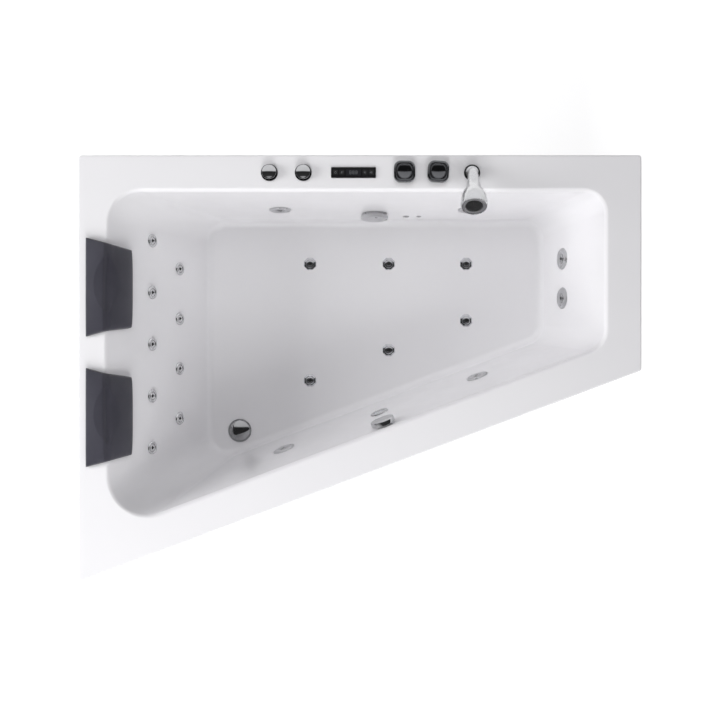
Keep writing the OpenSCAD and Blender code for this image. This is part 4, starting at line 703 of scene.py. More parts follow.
def bath_shell():
    """The acrylic shell with its basin, lip, deck and turned-down edge, and a hole at every fitting."""
    outside = [cove_ring(s, 0) for s in reversed(steps(COVE_STEPS))]
    outside += [wall_ring(d, 0) for d in reversed(WALL_DEPTHS)]
    outside += [lip_ring(s, 0) for s in reversed(steps(LIP_STEPS))]
    outside += [rim_ring(EDGE_R * (1 - cos(a)), BATH_H - EDGE_R * (1 - sin(a)))
            for a in (90, 75, 60, 45, 30, 15, 0)]
    edge = [rim_ring(0, BATH_H - SKIRT_H + 2), rim_ring(0.6, BATH_H - SKIRT_H + 0.6),
            rim_ring(2, BATH_H - SKIRT_H), rim_ring(SHELL_T, BATH_H - SKIRT_H),
            rim_ring(SHELL_T, BATH_H - SHELL_T)]
    inside = [lip_ring(s, SHELL_T) for s in steps(LIP_STEPS)]
    inside += [wall_ring(d, SHELL_T) for d in WALL_DEPTHS]
    inside += [cove_ring(s, SHELL_T) for s in steps(COVE_STEPS)]
    shell = piece("bath_shell", loft(outside + edge + inside), "acrylic", replaces="tub_shell",
            weighted=False)
    deck_low, deck_high = BATH_H - 2 * SHELL_T, BATH_H + SHELL_T
    floor_low, floor_high = FLOOR_Z - 2 * SHELL_T, FLOOR_Z + SHELL_T
    deck_holes = [(x, REGULATOR_HOLE_R) for x in REGULATORS] + [(x, TAP_HOLE_R) for x, turn in TAPS]
    deck_holes += [(SHOWER_X, SHOWER_HOLE_R)]
    cutters = [peg(x, ROW_Y, deck_low, deck_high, r) for x, r in deck_holes]
    cutters += [shifted(slab(rounded_outline(120, 25.3, 2), deck_low, deck_high), PANEL_X, ROW_Y)]
    cutters += [wall_hole(JET_HOLE_R, *jet) for jet in JETS]
    cutters += [wall_hole(SMALL_HOLE_R, HEAD, *jet) for jet in BACK_JETS]
    cutters += [peg(x, y, floor_low, floor_high, SMALL_HOLE_R) for x, y in FLOOR_JETS]
    cutters += [peg(*DRAIN, floor_low, floor_high, JET_HOLE_R)]
    cutters += [wall_hole(SUCTION_HOLE_R, *SUCTION)]
    cutters += [wall_hole(SENSOR_HOLE_R, BACK, x, SENSOR_DEPTH) for x, r in SENSORS]
    cutters += [wall_hole(OVERFLOW_HOLE_R, *OVERFLOW)]
    cutters += [wall_hole(LIGHT_HOLE_R, *LIGHT)]
    cut_out(shell, cutters)
    shade(shell, 35)


# Headrests
REST_X = -822
REST_END_X = -698
REST_L = 297
REST_LOW_L = 236
REST_EDGE_T = 17
REST_T = 31
REST_REACH = 85
REST_EDGE_R = 6.5
REST_GAP = 0.4
REST_LENS_DEPTH = 10
REST_FOLD = 0.6
REST_FOLD_START = 0.46
REST_FOLD_DEPTH = 8
REST_U_STEPS = 90
REST_V_STEPS = 110
REST_TURN = 46.0
HOLLOW_MIDDLE = 0.535
HOLLOW_HALF_L = 0.345
HOLLOW_TO_DECK = 0.36
HOLLOW_TO_BASIN = 0.26
HOLLOW_LOWEST = 0.58
LIP_X = -(WALL_OFF[HEAD] - RUN[HEAD] * LIP_R / DEPTH + LIP_R / cos(TILT[HEAD]))
DECK_RUN = LIP_X - REST_X
LIP_RUN = math.radians(90 - TILT[HEAD]) * LIP_R
WALL_RUN = (REST_REACH - LIP_R) / cos(TILT[HEAD])
REST_RUN = DECK_RUN + LIP_RUN + WALL_RUN


def rest_base(s):
    """x, z and direction of the normal on the head side's surface, a run s away from the pad's edge."""
    if s < DECK_RUN:
        return REST_X + s, BATH_H, 90.0
    if s < DECK_RUN + LIP_RUN:
        a = 90 - math.degrees((s - DECK_RUN) / LIP_R)
        return LIP_X + LIP_R * cos(a), BATH_H - LIP_R + LIP_R * sin(a), a
    down = s - DECK_RUN - LIP_RUN
    a = TILT[HEAD]
    return (LIP_X + LIP_R * cos(a) + down * sin(a),
            BATH_H - LIP_R + LIP_R * sin(a) - down * cos(a), a)


def eased(t):
    t = min(1.0, max(0.0, t))
    return t * t * (3 - 2 * t)


def rest_normal(s):
    """Direction in which the pad's top is raised, turning more softly than the surface below it."""
    middle = DECK_RUN + LIP_RUN / 2
    share = eased((s - middle + REST_TURN) / (2 * REST_TURN))
    return 90 - share * (90 - TILT[HEAD])


def bow_shift(y, depth):
    y1 = crossing(2, WALL_OFF[2] - CORNER_TOP[2], WALL_OFF[3] - CORNER_TOP[3])[1]
    y2 = crossing(3, WALL_OFF[3] - CORNER_TOP[3], WALL_OFF[0] - CORNER_TOP[3])[1]
    t = (y - y1) / (y2 - y1)
    return HEAD_BOW * max(0.0, 1 - (2 * t - 1) ** 2) * max(0.0, 1 - depth / BOW_DEPTH) ** 2


def hollow(p, v):
    """Depth share of the hollow for the neck: creased at its deck arc, fading out towards the basin."""
    w = (v - HOLLOW_MIDDLE) / HOLLOW_HALF_L
    reach = 1 - w * w
    if reach <= 0:
        return 0.0
    left, right = REST_FOLD - HOLLOW_TO_DECK * reach, REST_FOLD + HOLLOW_TO_BASIN * reach
    t = (p - left) / (right - left)
    if t <= 0 or t >= 1:
        return 0.0
    share = (t / HOLLOW_LOWEST) ** 0.85 if t < HOLLOW_LOWEST else eased((1 - t) / (1 - HOLLOW_LOWEST))
    return share * reach ** 0.5 * eased(reach * 4)


def fold(p):
    """Depth share of the fold over the lip: a steep side towards the deck and a long one to the basin."""
    if p < REST_FOLD:
        return eased((p - REST_FOLD_START) / (REST_FOLD - REST_FOLD_START))
    return eased((1 - p) / (1 - REST_FOLD))


def edge_drop(d):
    """How far the top falls at a distance from the pad's edge."""
    if d >= REST_EDGE_R:
        return 0.0
    return REST_EDGE_R - math.sqrt(max(0.0, REST_EDGE_R ** 2 - (REST_EDGE_R - d) ** 2))


def rest_samples(length, count):
    """Distances along a length, closer together within the rounding at both ends."""
    near = [REST_EDGE_R * (1 - cos(15 * k)) for k in range(7)]
    far = [length - d for d in reversed(near)]
    middle = [REST_EDGE_R + (length - 2 * REST_EDGE_R) * k / count for k in range(1, count)]
    return near + middle + far


def swell(t):
    return max(0.0, 1 - abs(2 * t - 1) ** 3.2) ** 0.5


def rise(u):
    """Thickness share across the pad: it grows evenly over the deck and rounds off at the basin's end."""
    return swell(u) if u > 0.5 else min(1.0, 0.12 + u / 0.4)


def rest_length(x):
    """Length of the pad at a place across it: its two ends are straight in the view from above."""
    return REST_L + (REST_LOW_L - REST_L) * (x - REST_X) / (REST_END_X - REST_X)


def headrest(name, node, mid_y):
    """A moulded pad that lies on the deck, bends over the lip and rests on the backrest."""
    top, bottom = [], []
    runs = rest_samples(REST_RUN, REST_U_STEPS)
    for s in runs:
        u = s / REST_RUN
        x, z, a = rest_base(s)
        n = rest_normal(s)
        top_row, bottom_row = [], []
        for q in rest_samples(REST_L, REST_V_STEPS):
            v = q / REST_L
            h = REST_EDGE_T + (REST_T - REST_EDGE_T) * rise(u) * swell(v)
            p = (x + h * cos(n) - REST_X) / (REST_END_X - REST_X)
            h -= REST_LENS_DEPTH * hollow(p, v)
            h -= REST_FOLD_DEPTH * fold(p)
            h -= edge_drop(min(s, REST_RUN - s, q, REST_L - q))
            x_top, x_low = x + h * cos(n), x + REST_GAP * cos(a)
            y_top, y_low = (mid_y + (v - 0.5) * rest_length(place) for place in (x_top, x_low))
            shift = bow_shift(y_low, max(LIP_R, BATH_H - z)) * math.sin(math.pi * u)
            top_row.append((x_top - shift, y_top, z + h * sin(n)))
            bottom_row.append((x_low - shift, y_low, z + REST_GAP * sin(a)))
        top.append(top_row)
        bottom.append(bottom_row)
    rows, columns = len(top), len(top[0])
    points = [p for row in top for p in row] + [p for row in bottom for p in row]
    base = rows * columns
    faces = []
    for i in range(rows - 1):
        for j in range(columns - 1):
            a = i * columns + j
            faces.append((a, a + 1, a + columns + 1, a + columns))
            faces.append((base + a, base + a + columns, base + a + columns + 1, base + a + 1))
    rim = [j for j in range(columns)]
    rim += [i * columns + columns - 1 for i in range(1, rows)]
    rim += [(rows - 1) * columns + j for j in range(columns - 2, -1, -1)]
    rim += [i * columns for i in range(rows - 2, 0, -1)]
    for a, b in zip(rim, rim[1:] + rim[:1]):
        faces.append((a, base + a, base + b, b))
    pad = piece(name, (points, faces), "headrest_pu", replaces=node, angle=50, weighted=False)
    return pad


# Fittings on the deck
def on_deck(shape, x, z=0):
    """Places a shape in the row of fittings on the deck."""
    return shifted(shape, x, ROW_Y, BATH_H + z)


def regulators():
    """Two air regulators: dark ring, threaded body and nut below, and a domed knob on a stem."""
    for i, x in enumerate(REGULATORS):
        ring_line = [(0, -76), (11, -76), (13, -74)] + thread(15.6, -74, -16) + [(15.6, -15), (15.6, 0),
                (25.5, 0)]
        ring_line += [(25.5, 2.2)] + arc(22.9, 4.0, 2.6, 0, 90, 5) + [(22.2, 6.6), (22.0, 6.0),
                (21.8, 1.2), (0, 1.2)]
        body = joined(lathe(ring_line, 64), hexagon(-16, -6, 23))
        piece("regulator_%d" % (i + 1), on_deck(body, x), "regulator_dark", replaces="regulator_bodies")
        knob = [(0, -12.7), (6, -12.7), (6, 7.6), (20.2, 7.6), (21.3, 8.6), (21.5, 9.6), (21.5, 15.2)]
        knob += arc(20.3, 16.2, 1.2, 0, 60, 4)
        rise, edge = 5.2, 20.2
        dome_r = (edge * edge + rise * rise) / (2 * rise)
        for k in range(1, 15):
            r = edge * (1 - k / 14)
            knob.append((max(0, r), 17.0 + math.sqrt(dome_r ** 2 - r * r) - (dome_r - rise)))
        piece("air_knob_%d_cap" % (i + 1), on_deck(lathe(knob, 96), x), "knob_chrome",
                body="air_knob_%d" % (i + 1), replaces="air_knob_%d" % (i + 1))


DIGIT_PLACES = (-9, 0, 9)
KEY_PLACES = (-54.2, -34.7, 34.7, 54.2)


def control_panel():
    """Gloss black bezel with a display window, four keys with plain marks, and the box below."""
    outline = rounded_outline(135, 32.5, 3, 6)
    frame_top = slab(outline, 0, 4.4, 1.0)
    box = slab(rounded_outline(119, 24.5, 2, 4), -42, 0.5)
    sill = slab(rounded_outline(129, 27, 2, 6), 4.0, 5.0, 0.5)
    piece("panel_bezel", on_deck(joined(frame_top, box, sill), PANEL_X), "panel_black",
            replaces="panel_housing")
    window = slab(rounded_outline(46, 19, 2, 6), 3.6, 5.25, 0.3)
    piece("panel_glass", on_deck(window, PANEL_X), "panel_display", replaces="panel_window")
    digits = [shifted(bar(5.0, 0.9, 0.12), x, y, 5.25) for x in DIGIT_PLACES for y in (-4.6, 0, 4.6)]
    digits += [shifted(bar(0.9, 3.6, 0.12), x + dx, y, 5.25)
            for x in DIGIT_PLACES for dx in (-2.6, 2.6) for y in (-2.3, 2.3)]
    piece("panel_digits", on_deck(joined(*digits), PANEL_X), "panel_marks")
    for i, place in enumerate(KEY_PLACES):
        key = slab(rounded_outline(15.5, 15.5, 2, 6), 2.7, 5.3, 0.7)
        node = "panel_key_%d" % (i + 1)
        cap = piece(node + "_cap", on_deck(key, PANEL_X + place), "panel_keys", body=node, replaces=node)
        mark = piece("panel_mark_%d" % (i + 1), on_deck(joined(*key_mark(i)), PANEL_X + place, 5.3),
                "panel_marks", body=node)
        attach(mark, cap)


def bar(l, w, h):
    return slab(rounded_outline(l, w, min(l, w) * 0.45, 3), -0.05, h)


def hoop(r, w, h):
    return lathe([(r - w, -0.05), (r - w, h), (r, h), (r, -0.05), (r - w, -0.05)], 40)


def key_mark(i):
    """Plain marks: start and stop, bubbles, a lamp and a jet."""
    h = 0.12
    if i == 0:
        return [hoop(3.2, 0.6, h), shifted(bar(0.7, 3.4, h + 0.02), 0, 2.4)]
    if i == 1:
        return [shifted(hoop(1.6, 0.45, h), -1.9, -1.2), shifted(hoop(2.1, 0.45, h), 1.6, 0.4),
                shifted(hoop(1.1, 0.4, h), -0.9, 2.6)]
    if i == 2:
        rays = [turned(shifted(bar(1.5, 0.55, h), 3.6), a) for a in range(0, 360, 45)]
        return [hoop(1.9, 0.5, h)] + rays
    return [shifted(bar(6.0, 0.6, h), 0, y) for y in (-2.1, 0, 2.1)] + [shifted(hoop(1.0, 0.4, h), -3.9, 0)]


def tap_knob(name, node, x, turn):
    """A rounded square handle with bulging sides, a chamfered brow and a dished top."""
    outline = rounded_outline(61.6, 61.6, 17, 10, 1.4)
    rings = []
    for inset, z in ((3.2, 0.3), (1.6, 0.6), (0.6, 1.6), (0.25, 4), (0, 12), (0, 19.5), (0.5, 21.4), (1.5,
            22.9), (3.0, 24.2),
            (4.4, 24.6), (5.2, 24.7), (5.7, 25.3), (6.3, 25.6), (6.9, 25.3), (7.3, 24.7), (7.6, 24.6)):
        rings.append([(px, py, z) for px, py in inset_outline(outline, inset)])
    flat = inset_outline(outline, 7.6)
    lip = 22.9
    for s in (0.35, 0.7, 0.95):
        rings.append([mixed(p, on_circle(p, lip), s, 24.6) for p in flat])
    for r, z in ((lip, 24.7), (22.4, 25.4), (21.7, 25.8), (21.0, 25.5), (20.4, 24.6), (18.5, 23.6), (15.5,
            22.6), (12, 21.8),
            (8, 21.3), (4, 21.05), (1.2, 21.0)):
        rings.append([(*on_circle(p, r), z) for p in flat])
    top = loft(rings)
    stem = lathe([(0, -18), (7, -18), (7, 1), (0, 1)], 40)
    shape = turned(joined(top, stem), turn)
    piece(name, on_deck(shape, x, TAP_RISE), "tap_chrome", body=node, replaces=node, angle=26)


def on_circle(p, r):
    a = math.atan2(p[1], p[0])
    return (r * math.cos(a), r * math.sin(a))


def mixed(p, q, s, z):
    return (p[0] + (q[0] - p[0]) * s, p[1] + (q[1] - p[1]) * s, z)


# Hand shower
SHOWER_BASE = BATH_H + 12
SHOWER_RISE = 30
ELBOW_R = 26
SHOWER_L = 120
SHOWER_YAW = -2
NECK_R = 15.2
NECK_LOW_R = 12.2
BODY_LINE = [(0, 15.6), (0.08, 16.2), (0.2, 17.4), (0.32, 19.6), (0.41, 22.6), (0.5, 27.2), (0.59, 32.2),
        (0.68, 36.2), (0.78, 38.6), (0.87, 39.5), (0.94, 39.2), (0.975, 38.4)]


def elbow_matrix():
    """Places a shape at the end of the shower's elbow, its Z along the body."""
    at = Matrix.Translation((SHOWER_X, ROW_Y, SHOWER_BASE)) @ Matrix.Rotation(math.radians(SHOWER_YAW), 4,
            "Z")
    up = Matrix.Translation((0, -ELBOW_R * (1 - sin(SHOWER_RISE)), ELBOW_R * cos(SHOWER_RISE)))
    return at @ up @ Matrix.Rotation(math.radians(90 - SHOWER_RISE), 4, "X")


def from_face(*points):
    """Outline points whose heights count from the end of the shower's body."""
    return [(r, SHOWER_L + z) for r, z in points]


def hand_shower():
    """Stem, elbow and swelling body in one skin, and a dished ring round a dark face with rubber nozzles."""
    yaw = Matrix.Rotation(math.radians(SHOWER_YAW), 4, "Z")
    path, radii = [], []
    for z, r in ((-52, 11), (-51, 12), (-4, 12), (-3.4, 12.6), (-3.2, 16.6), (-2.6, 17.2), (0.4, 17.2),
            (1.0, 16.6), (1.6, 13.0)):
        path.append((0, 0, z))
        radii.append(r)
    for k in range(1, 13):
        a = (90 - SHOWER_RISE) * k / 12
        path.append((0, -ELBOW_R * (1 - cos(a)), ELBOW_R * sin(a) + 1.6 * (1 - k / 12)))
        radii.append(NECK_LOW_R + (NECK_R - NECK_LOW_R) * k / 12)
    inner = [tuple(Matrix.Translation((SHOWER_X, ROW_Y, SHOWER_BASE)) @ yaw @ Vector(p)) for p in path]
    place = elbow_matrix()
    line = smooth_line(BODY_LINE, 5)
    body_rings, body_radii = [], []
    for share, r in line:
        body_rings.append(tuple(place @ Vector((0, 0, share * SHOWER_L))))
        body_radii.append(r)
    skin = tube(inner + body_rings[1:], radii + body_radii[1:], 72)
    rim_line = [(38.4, 0.972 * SHOWER_L), (38.2, 0.982 * SHOWER_L), (37.8, 0.992 * SHOWER_L)]
    rim_line += from_face((37.3, -0.1), (36.8, 0), (36.4, -0.5), (36.3, -4.5), (0, -4.5))
    rim = moved(lathe(rim_line, 72), place)
    piece("hand_shower_body", joined(skin, rim), "shower_satin", body="hand_shower",
            replaces="hand_shower", angle=38)
    dish_line = from_face((25, -4.4), (36.2, -4.4), (36.2, -1.6), (35.4, -0.9), (32.4, -0.5),
            (28.4, -0.7), (26.4, -1.4), (25.2, -2.4), (25, -4.4))
    dish = piece("shower_dish", moved(lathe(dish_line, 72), place), "dish_chrome",
            body="hand_shower")
    plate_line = from_face((0, -4.4), (25.1, -4.4), (25.1, -2.6), (24.2, -2.2), (23.2, -2.2),
            (22.6, -1.6), (21.5, -1.2), (0, -0.9))
    plate = moved(lathe(plate_line, 72), place)
    face = piece("shower_plate", plate, "shower_face_dark", body="hand_shower", replaces="shower_face")
    attach(dish, face)
    tips = []
    tip_line = from_face((0, -1.8), (1.5, -1.8), (1.25, -0.3), (0.9, 0), (0, 0))
    for row, count in ((6.5, 6), (12.5, 12), (18.2, 18)):
        for k in range(count):
            a = 360 * (k + 0.5 * (row > 10)) / count
            tip = lathe(tip_line, 10)
            tips.append(moved(shifted(tip, row * cos(a), row * sin(a)), place))
    rubber = piece("shower_tips", joined(*tips), "deep_hole", body="hand_shower")
    attach(rubber, face)


def shower_sleeve():
    """Dark deck ring, bright inner collar, threaded guide tube and nut."""
    ring_line = [(13.0, 4.2), (13.0, 0.0), (24.5, 0.0), (24.5, 2.4)] + arc(21.9, 2.6, 2.6, 0, 90, 5)
    ring_line += [(20.2, 4.8), (19.6, 4.2), (13.0, 4.2)]
    piece("sleeve_ring", on_deck(lathe(ring_line, 72), SHOWER_X), "regulator_dark")
    collar = [(12.3, -110), (14.5, -110), (15.5, -109)] + thread(16.6, -109, -20) + [(16.6, -18),
            (16.6, 1.0), (19.4, 1.0)]
    collar += [(19.4, 4.6)] + arc(17.6, 6.2, 1.8, 0, 90, 5) + [(13.4, 8.0), (12.3, 7.2), (12.3, -110)]
    tube_shape = joined(lathe(collar, 72), hexagon(-18, -6, 24, 16.4))
    piece("sleeve_collar", on_deck(tube_shape, SHOWER_X), "sleeve_chrome", replaces="shower_sleeve")


# Jets and other fittings in the basin
BEZEL = [(1, 0), (1, 0.22), (0.992, 0.36), (0.975, 0.55), (0.94, 0.78), (0.9, 0.92), (0.86, 1),
        (0.81, 1.0), (0.785, 0.93), (0.768, 0.78), (0.75, 0.76), (0.735, 0.84), (0.715, 0.98),
        (0.68, 1.02), (0.6, 0.97), (0.54, 0.86), (0.485, 0.68), (0.45, 0.52), (0.432, 0.36)]
FACE_R = 35.5
FACE_H = 6
BEADS = 24


def bezels():
    """Satin faces of the large jets: stepped ring with a fine groove, beads and a socket for the ball."""
    shapes = []
    for jet in JETS:
        line = [(17.3, -34), (26, -34), (26, 0)] + [(a * FACE_R, b * FACE_H) for a, b in BEZEL]
        line += [(15.1, 1.4), (16.4, -1.0), (17.3, -6), (17.3, -34)]
        body = lathe(line, 96)
        beads = []
        for k in range(BEADS):
            bead = lathe([(0, 0), (0.8, 0), (0.62, 0.5), (0, 0.72)], 8)
            beads.append(turned(shifted(bead, FACE_R * 0.905, 0, 5.35), k * 360 / BEADS))
        shapes.append(moved(joined(body, *beads), wall_matrix(*jet)))
    piece("jet_rings", joined(*shapes), "satin_plastic", replaces="jet_bezels")


def nozzles():
    """Eyeball nozzles: a ball with a raised lip round a bore, and four pits beside it, both filled with
    near-black solids that are painted shade.
    """
    for i, jet in enumerate(JETS):
        lip = [(4.5, -16.2), (4.5, 9.6), (6.4, 11.4), (7.0, 12.1), (7.8, 12.25), (8.6, 12.0), (9.1, 11.2),
                (9.35, 10.1)]
        ball = [(17 * cos(a), 17 * sin(a)) for a in range(36, -73, -6)]
        line = lip + [(10.6, 9.6), (12.8, 9.6), (13.6, 9.9)] + ball[1:] + [(4.5, -16.2)]
        slots = []
        for k in range(4):
            pit = lathe([(0, 9.2), (1.75, 9.2), (1.75, 9.75), (0, 9.75)], 16)
            slots.append(turned(shifted(pit, 11.6), 45 + 90 * k))
        place = wall_matrix(*jet) @ Matrix.Translation((0, 0, -6))
        name = "jet_nozzle_%d" % (i + 1)
        eye = piece(name + "_eye", moved(lathe(line, 64), place), "nozzle_plated", body=name,
                replaces=name)
        # A near-black solid fills the bore and the four pits: painted shade of the holes.
        dark = lathe([(0, 2.0), (4.55, 2.0), (4.55, 9.8), (6.2, 11.35), (0, 11.35)], 32)
        hole = piece(name + "_bore", moved(joined(dark, *slots), place), "deep_hole",
                body=name)
        attach(hole, eye)


SMALL_FACE = [(1, 0), (1, 0.3), (0.985, 0.5), (0.95, 0.72), (0.9, 0.9), (0.84, 1), (0.72, 1.0),
        (0.66, 0.92), (0.61, 0.7), (0.56, 0.66), (0.5, 0.8), (0.42, 0.86), (0.33, 0.8), (0.27, 0.62)]
SMALL_FACE_R = 21
SMALL_FACE_H = 5


def back_jets():
    """Small jets in the backrest: a bright ring, and a near-black ring and bore that are painted shade of a
    groove and a hole.
    """
    faces, grooves = [], []
    low, high = 0.57 * SMALL_FACE_R, 0.625 * SMALL_FACE_R
    for jet in BACK_JETS:
        line = [(4, -24), (10, -24), (10, 0)] + [(a * SMALL_FACE_R, b * SMALL_FACE_H) for a, b in SMALL_FACE]
        line += [(4, 2.0), (4, -24)]
        place = wall_matrix(HEAD, *jet)
        faces.append(moved(lathe(line, 64), place))
        # The near-black ring stands for a groove and the disc for the bore: painted shade.
        groove = lathe([(low, 3.0), (high, 3.0), (high, 3.62), (low, 3.5), (low, 3.0)], 64)
        bore = lathe([(0, -3), (3.95, -3), (3.95, 2.1), (5.5, 2.1), (5.5, 2.7), (0, 2.7)], 24)
        grooves.append(moved(joined(groove, bore), place))
    piece("back_jet_rings", joined(*faces), "plated_plastic", replaces="back_jet_faces")
    piece("back_jet_painted_shade", joined(*grooves), "deep_hole")


def floor_jets():
    """Floor jets: a domed cap with eight lobes, a low ring on it and a near-black disc in the centre,
    painted shade of the hole.
    """
    caps, rings, bores = [], [], []
    for x, y in FLOOR_JETS:
        line = [(4, -24), (10, -24), (10, 0), (21.2, 0, 0.6), (21.5, 0.7, 1), (21.2, 1.5, 1),
                (20.3, 2.3, 1), (18.9, 3.0, 0.9), (17.2, 3.5, 0.6), (15.4, 3.8, 0.3), (14.0, 3.95),
                (13.5, 3.6), (13.1, 3.6), (9.8, 3.6), (9.8, 2.0), (4, 2.0), (4, -24)]
        caps.append(shifted(lathe(line, 96, 22.5, 8, 0.75), x, y, FLOOR_Z))
        inner = [(6.6, 3.4), (6.6, 4.6), (7.2, 4.85), (8.6, 4.8), (10.4, 4.55), (12.0, 4.2), (12.8, 3.8),
                (12.9, 3.4), (6.6, 3.4)]
        rings.append(shifted(lathe(inner, 64), x, y, FLOOR_Z))
        # Near-black disc in the jet's hole: painted shade.
        bores.append(shifted(lathe([(0, -2), (6.5, -2), (6.5, 3.7), (0, 3.7)], 32), x, y, FLOOR_Z))
    piece("floor_jet_lobes", joined(*caps), "floor_cap_dark", replaces="floor_jet_caps")
    piece("floor_jet_rings", joined(*rings), "floor_cap_dark")
    piece("floor_jet_bores", joined(*bores), "deep_hole")


def suction_cover():
    """Suction cover: a round cap with fine rings on a slotted skirt, and its neck through the wall."""
    place = wall_matrix(*SUCTION)
    cap = [(34, 9.2), (44.4, 9.2), (45.1, 9.8), (45.5, 10.8), (45.5, 16.6), (45.1, 18.6), (44.0, 20.2),
            (42.4, 21.1), (40.6, 21.2), (39.8, 20.6), (39.0, 20.6), (38.2, 21.4), (33.6, 21.7),
            (32.8, 21.0), (32.0, 21.0), (31.2, 21.8), (24.6, 22.0), (23.8, 21.3), (23.0, 21.3),
            (22.2, 21.9), (0, 21.9)]
    neck = [(34, 9.2), (34, -12), (38, -12), (38, 0), (41, 0), (41, 1.6), (37.5, 1.6), (37.5, 9.2)]
    ribs = []
    for k in range(24):
        rib = [[(34.2, -2.6, z), (40.8, -2.9, z), (40.8, 2.9, z), (34.2, 2.6, z)] for z in (1.5, 9.4)]
        ribs.append(turned(loft(rib), 7.5 + 15 * k))
    shape = joined(lathe([(0, 13)] + [(33.9, 13)] + cap, 96), lathe(neck, 96), *ribs)
    cover = piece("suction_cover", moved(shape, place), "satin_plastic",
            replaces="suction_grille", angle=40)
    # A near-black sleeve behind the slots stands for the dark inside of the cover: painted shade.
    dark = lathe([(33.2, -11), (34.6, -11), (34.6, 9.3), (33.2, 9.3), (33.2, -11)], 96)
    inside = piece("suction_dark", moved(dark, place), "deep_hole")
    attach(inside, cover)


def sensors():
    """Two level sensors: low buttons with a rounded edge, stud and nut."""
    shapes = []
    for u, r in SENSORS:
        line = [(0, -22), (4, -22)] + thread(5, -22, -6, 2.0, 0.6) + [(5, -5), (5, 0), (r, 0), (r, 0.8),
                (r - 0.5, 1.5), (r - 1.4, 1.9), (r * 0.78, 2.0), (r * 0.74, 1.6), (r * 0.7, 1.7),
                (r * 0.66, 2.6), (r * 0.5, 2.95), (0, 3.0)]
        shapes.append(moved(joined(lathe(line, 48), hexagon(-12, -6, 10, 4.6)),
                wall_matrix(BACK, u, SENSOR_DEPTH)))
    piece("level_buttons", joined(*shapes), "nozzle_plated", replaces="level_sensors")


def drain_cover():
    """Domed lifting plug with a rounded rim and its guide stem."""
    line = [(0, -34), (5, -34), (5.8, -33), (5.8, -2), (8, -1.2), (12, 0), (31, 0), (33.9, 0.4),
            (34.7, 1.2), (35, 2.2), (34.8, 3.0), (34.4, 3.5)]
    for k in range(1, 19):
        r = 34.4 * (1 - k / 18)
        line.append((max(0.0, r), 3.5 + 7.1 * (1 - (r / 34.4) ** 2) ** 0.95))
    place = (*DRAIN, FLOOR_Z + 3.3)
    piece("drain_cap", shifted(lathe(line, 96), *place), "plug_chrome", body="drain_plug",
            replaces="drain_plug")


def overflow_handle():
    """Turned overflow handle: a drum with rounded edges, a dished face and a spindle."""
    line = [(0, -24), (5, -24), (5, 0), (35.6, 0), (37.0, 0.6), (37.5, 1.5), (37.5, 13.0), (37.2, 14.4),
            (36.4, 15.4), (35.2, 15.9), (34.0, 16), (32.8, 15.6), (31.9, 15.0), (30.8, 14.8), (0, 14.4)]
    place = wall_matrix(*OVERFLOW) @ Matrix.Translation((0, 0, 4))
    piece("overflow_handle", moved(lathe(line, 96), place), "knob_chrome", body="overflow_knob",
            replaces="overflow_knob")


def light():
    """Underwater light: bevelled chrome face with a seat, neck and body, and a ribbed lens."""
    place = wall_matrix(*LIGHT)
    line = [(0, -40), (24, -40), (26, -38), (26, -6), (22, -6), (22, 0), (30, 0), (30, 1.6), (29.4, 3.2),
            (28.2, 4.4), (26.8, 5.0), (22.4, 5.0), (20.6, 4.4), (19.6, 3.2), (19.3, 0.2), (0, 0.2)]
    piece("light_ring", moved(lathe(line, 72), place), "nozzle_plated",
            replaces="light_housing")
    lens_line = [(0, 0.25), (19.0, 0.25), (19.0, 2.2)]
    for k in range(1, 13):
        share = 1 - k / 12
        lens_line.append((19.0 * share, 2.2 + 1.3 * (1 - share ** 2) ** 0.5 + (0.25 if k % 2 else 0)))
    piece("light_glass", moved(lathe(lens_line, 64), place), "lens", replaces="light_lens")


def soften_nodes():
    """CAD nodes that stay are shaded smooth with their sharp edges kept."""
    for node in nodes.values():
        if not node.hide_render:
            shade(node, 30, False)


bath_shell()
headrest("headrest_pad_upper", "headrest_upper", 244)
headrest("headrest_pad_lower", "headrest_lower", -148)
regulators()
control_panel()
tap_knob("mixer_handle", "mixer_knob", *TAPS[0])
tap_knob("diverter_handle", "diverter_knob", *TAPS[1])
hand_shower()
shower_sleeve()
bezels()
nozzles()
back_jets()
floor_jets()
suction_cover()
sensors()
drain_cover()
overflow_handle()
light()
soften_nodes()


# Floor, light and camera
FLOOR_GLOW = 0.55
FLOOR_HALF = 40000
FLOOR_LEVEL = -0.5


def floor():
    low, high, z = -FLOOR_HALF, FLOOR_HALF, FLOOR_LEVEL
    corners = [(low, low, z), (high, low, z), (high, high, z), (low, high, z)]
    obj = new_object("studio_floor", (corners, [(0, 1, 2, 3)]))
    s = Surface("studio_floor", specular=0.1)
    s.colour(s.ramp(s.noise(0.6, 2.0), (0.3, rgb(0.90)), (0.7, rgb(0.92))))
    s.shader.inputs["Emission Color"].default_value = rgb(1.0)
    s.shader.inputs["Emission Strength"].default_value = FLOOR_GLOW
    s.rough(s.spread(s.noise(3.0), 0.75, 0.9))
    obj.data.materials.append(s.material)


LIGHT_DISTANCE = 4.2
LIGHT_SIZE = 2.2
LIGHT_TARGET = (0.0, 0.0, 0.4)


def studio_light(name, azimuth, elevation, power):
    """A square softbox seen from the bath at an angle round it and an angle above it."""
    data = bpy.data.lights.new(name, "AREA")
    data.shape = "SQUARE"
    data.size = LIGHT_SIZE
    data.energy = power
    obj = bpy.data.objects.new(name, data)
    bpy.context.scene.collection.objects.link(obj)
    away = Vector((cos(elevation) * cos(azimuth), cos(elevation) * sin(azimuth), sin(elevation)))
    obj.location = Vector(LIGHT_TARGET) + away * LIGHT_DISTANCE
    obj.rotation_mode = "QUATERNION"
    obj.rotation_quaternion = (-away).to_track_quat("-Z", "Y")
    obj.visible_glossy = False


AMBIENT = (0.155, 0.153, 0.16, 1)
BANDS = ((0.0, 0.8), (0.2, 0.6), (0.28, 0.045), (0.592, 0.03), (0.606, 0.3), (0.63, 0.8), (1.0, 0.95))


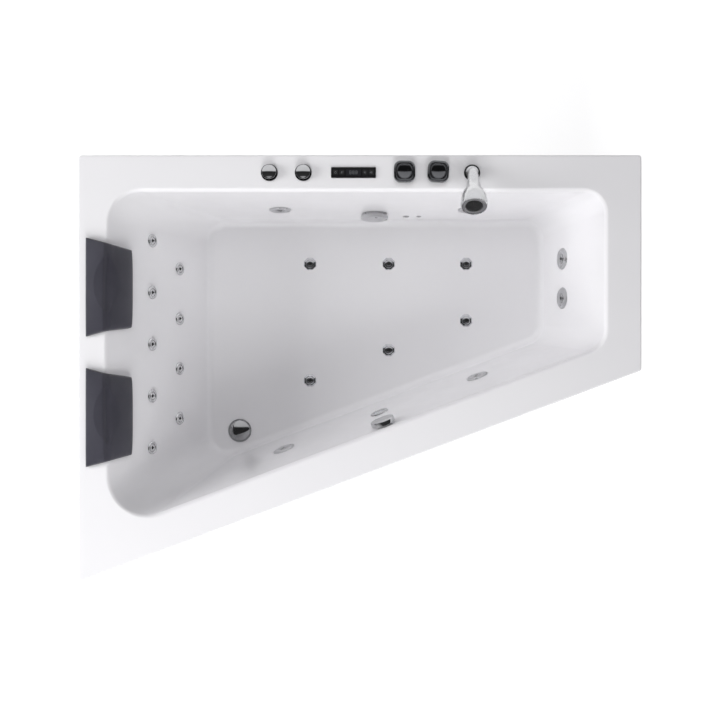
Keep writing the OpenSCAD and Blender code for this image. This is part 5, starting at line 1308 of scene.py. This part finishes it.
def studio_world():
    """Even pale surroundings. Polished faces mirror a dark band overhead and paler bands beside it."""
    world = bpy.data.worlds.new("studio")
    world.use_nodes = True
    bpy.context.scene.world = world
    tree = world.node_tree
    back = tree.nodes["Background"]
    place = tree.nodes.new("ShaderNodeTexCoord")
    split = tree.nodes.new("ShaderNodeSeparateXYZ")
    tree.links.new(place.outputs["Generated"], split.inputs["Vector"])
    shift = tree.nodes.new("ShaderNodeMapRange")
    shift.inputs["From Min"].default_value = -1.0
    shift.inputs["From Max"].default_value = 1.0
    tree.links.new(split.outputs["Y"], shift.inputs["Value"])
    ramp = tree.nodes.new("ShaderNodeValToRGB")
    stops = ramp.color_ramp.elements
    for n, (position, level) in enumerate(BANDS):
        stop = stops[n] if n < 1 else stops.new(position) if n < len(BANDS) - 1 else stops[len(BANDS) - 1]
        stop.position, stop.color = position, (level, level, level * 1.02, 1)
    tree.links.new(shift.outputs["Result"], ramp.inputs["Fac"])
    paths = tree.nodes.new("ShaderNodeLightPath")
    source = AMBIENT
    for ray, colour in (("Is Glossy Ray", ramp.outputs["Color"]), ("Is Camera Ray", (1.3, 1.3, 1.3, 1))):
        mix = tree.nodes.new("ShaderNodeMix")
        mix.data_type = "RGBA"
        tree.links.new(paths.outputs[ray], mix.inputs["Factor"])
        for slot, value in ((6, source), (7, colour)):
            if isinstance(value, tuple):
                mix.inputs[slot].default_value = value
            else:
                tree.links.new(value, mix.inputs[slot])
        source = mix.outputs[2]
    tree.links.new(source, back.inputs["Color"])
    back.inputs["Strength"].default_value = 1.0


floor()
studio_world()
for name, azimuth, elevation, power in (("key_head_end", 180, 22, 121), ("key_front", 270, 42, 78),
        ("fill_front_low", 270, 22, 52), ("fill_back_high", 90, 66, 41)):
    studio_light(name, azimuth, elevation, power)

# The camera looks straight down from about 3 m above the rim, in metres
CAMERA_AT = (0.00075, 0.0248, 3.6115)
camera = bpy.data.cameras.new("camera")
camera.lens = 50
camera.sensor_width = 36
camera.clip_end = 100
view = bpy.data.objects.new("camera", camera)
view.location = CAMERA_AT
view.rotation_euler = (0, 0, 0)
bpy.context.scene.collection.objects.link(view)
bpy.context.scene.camera = view
bpy.context.scene.view_settings.view_transform = "Standard"
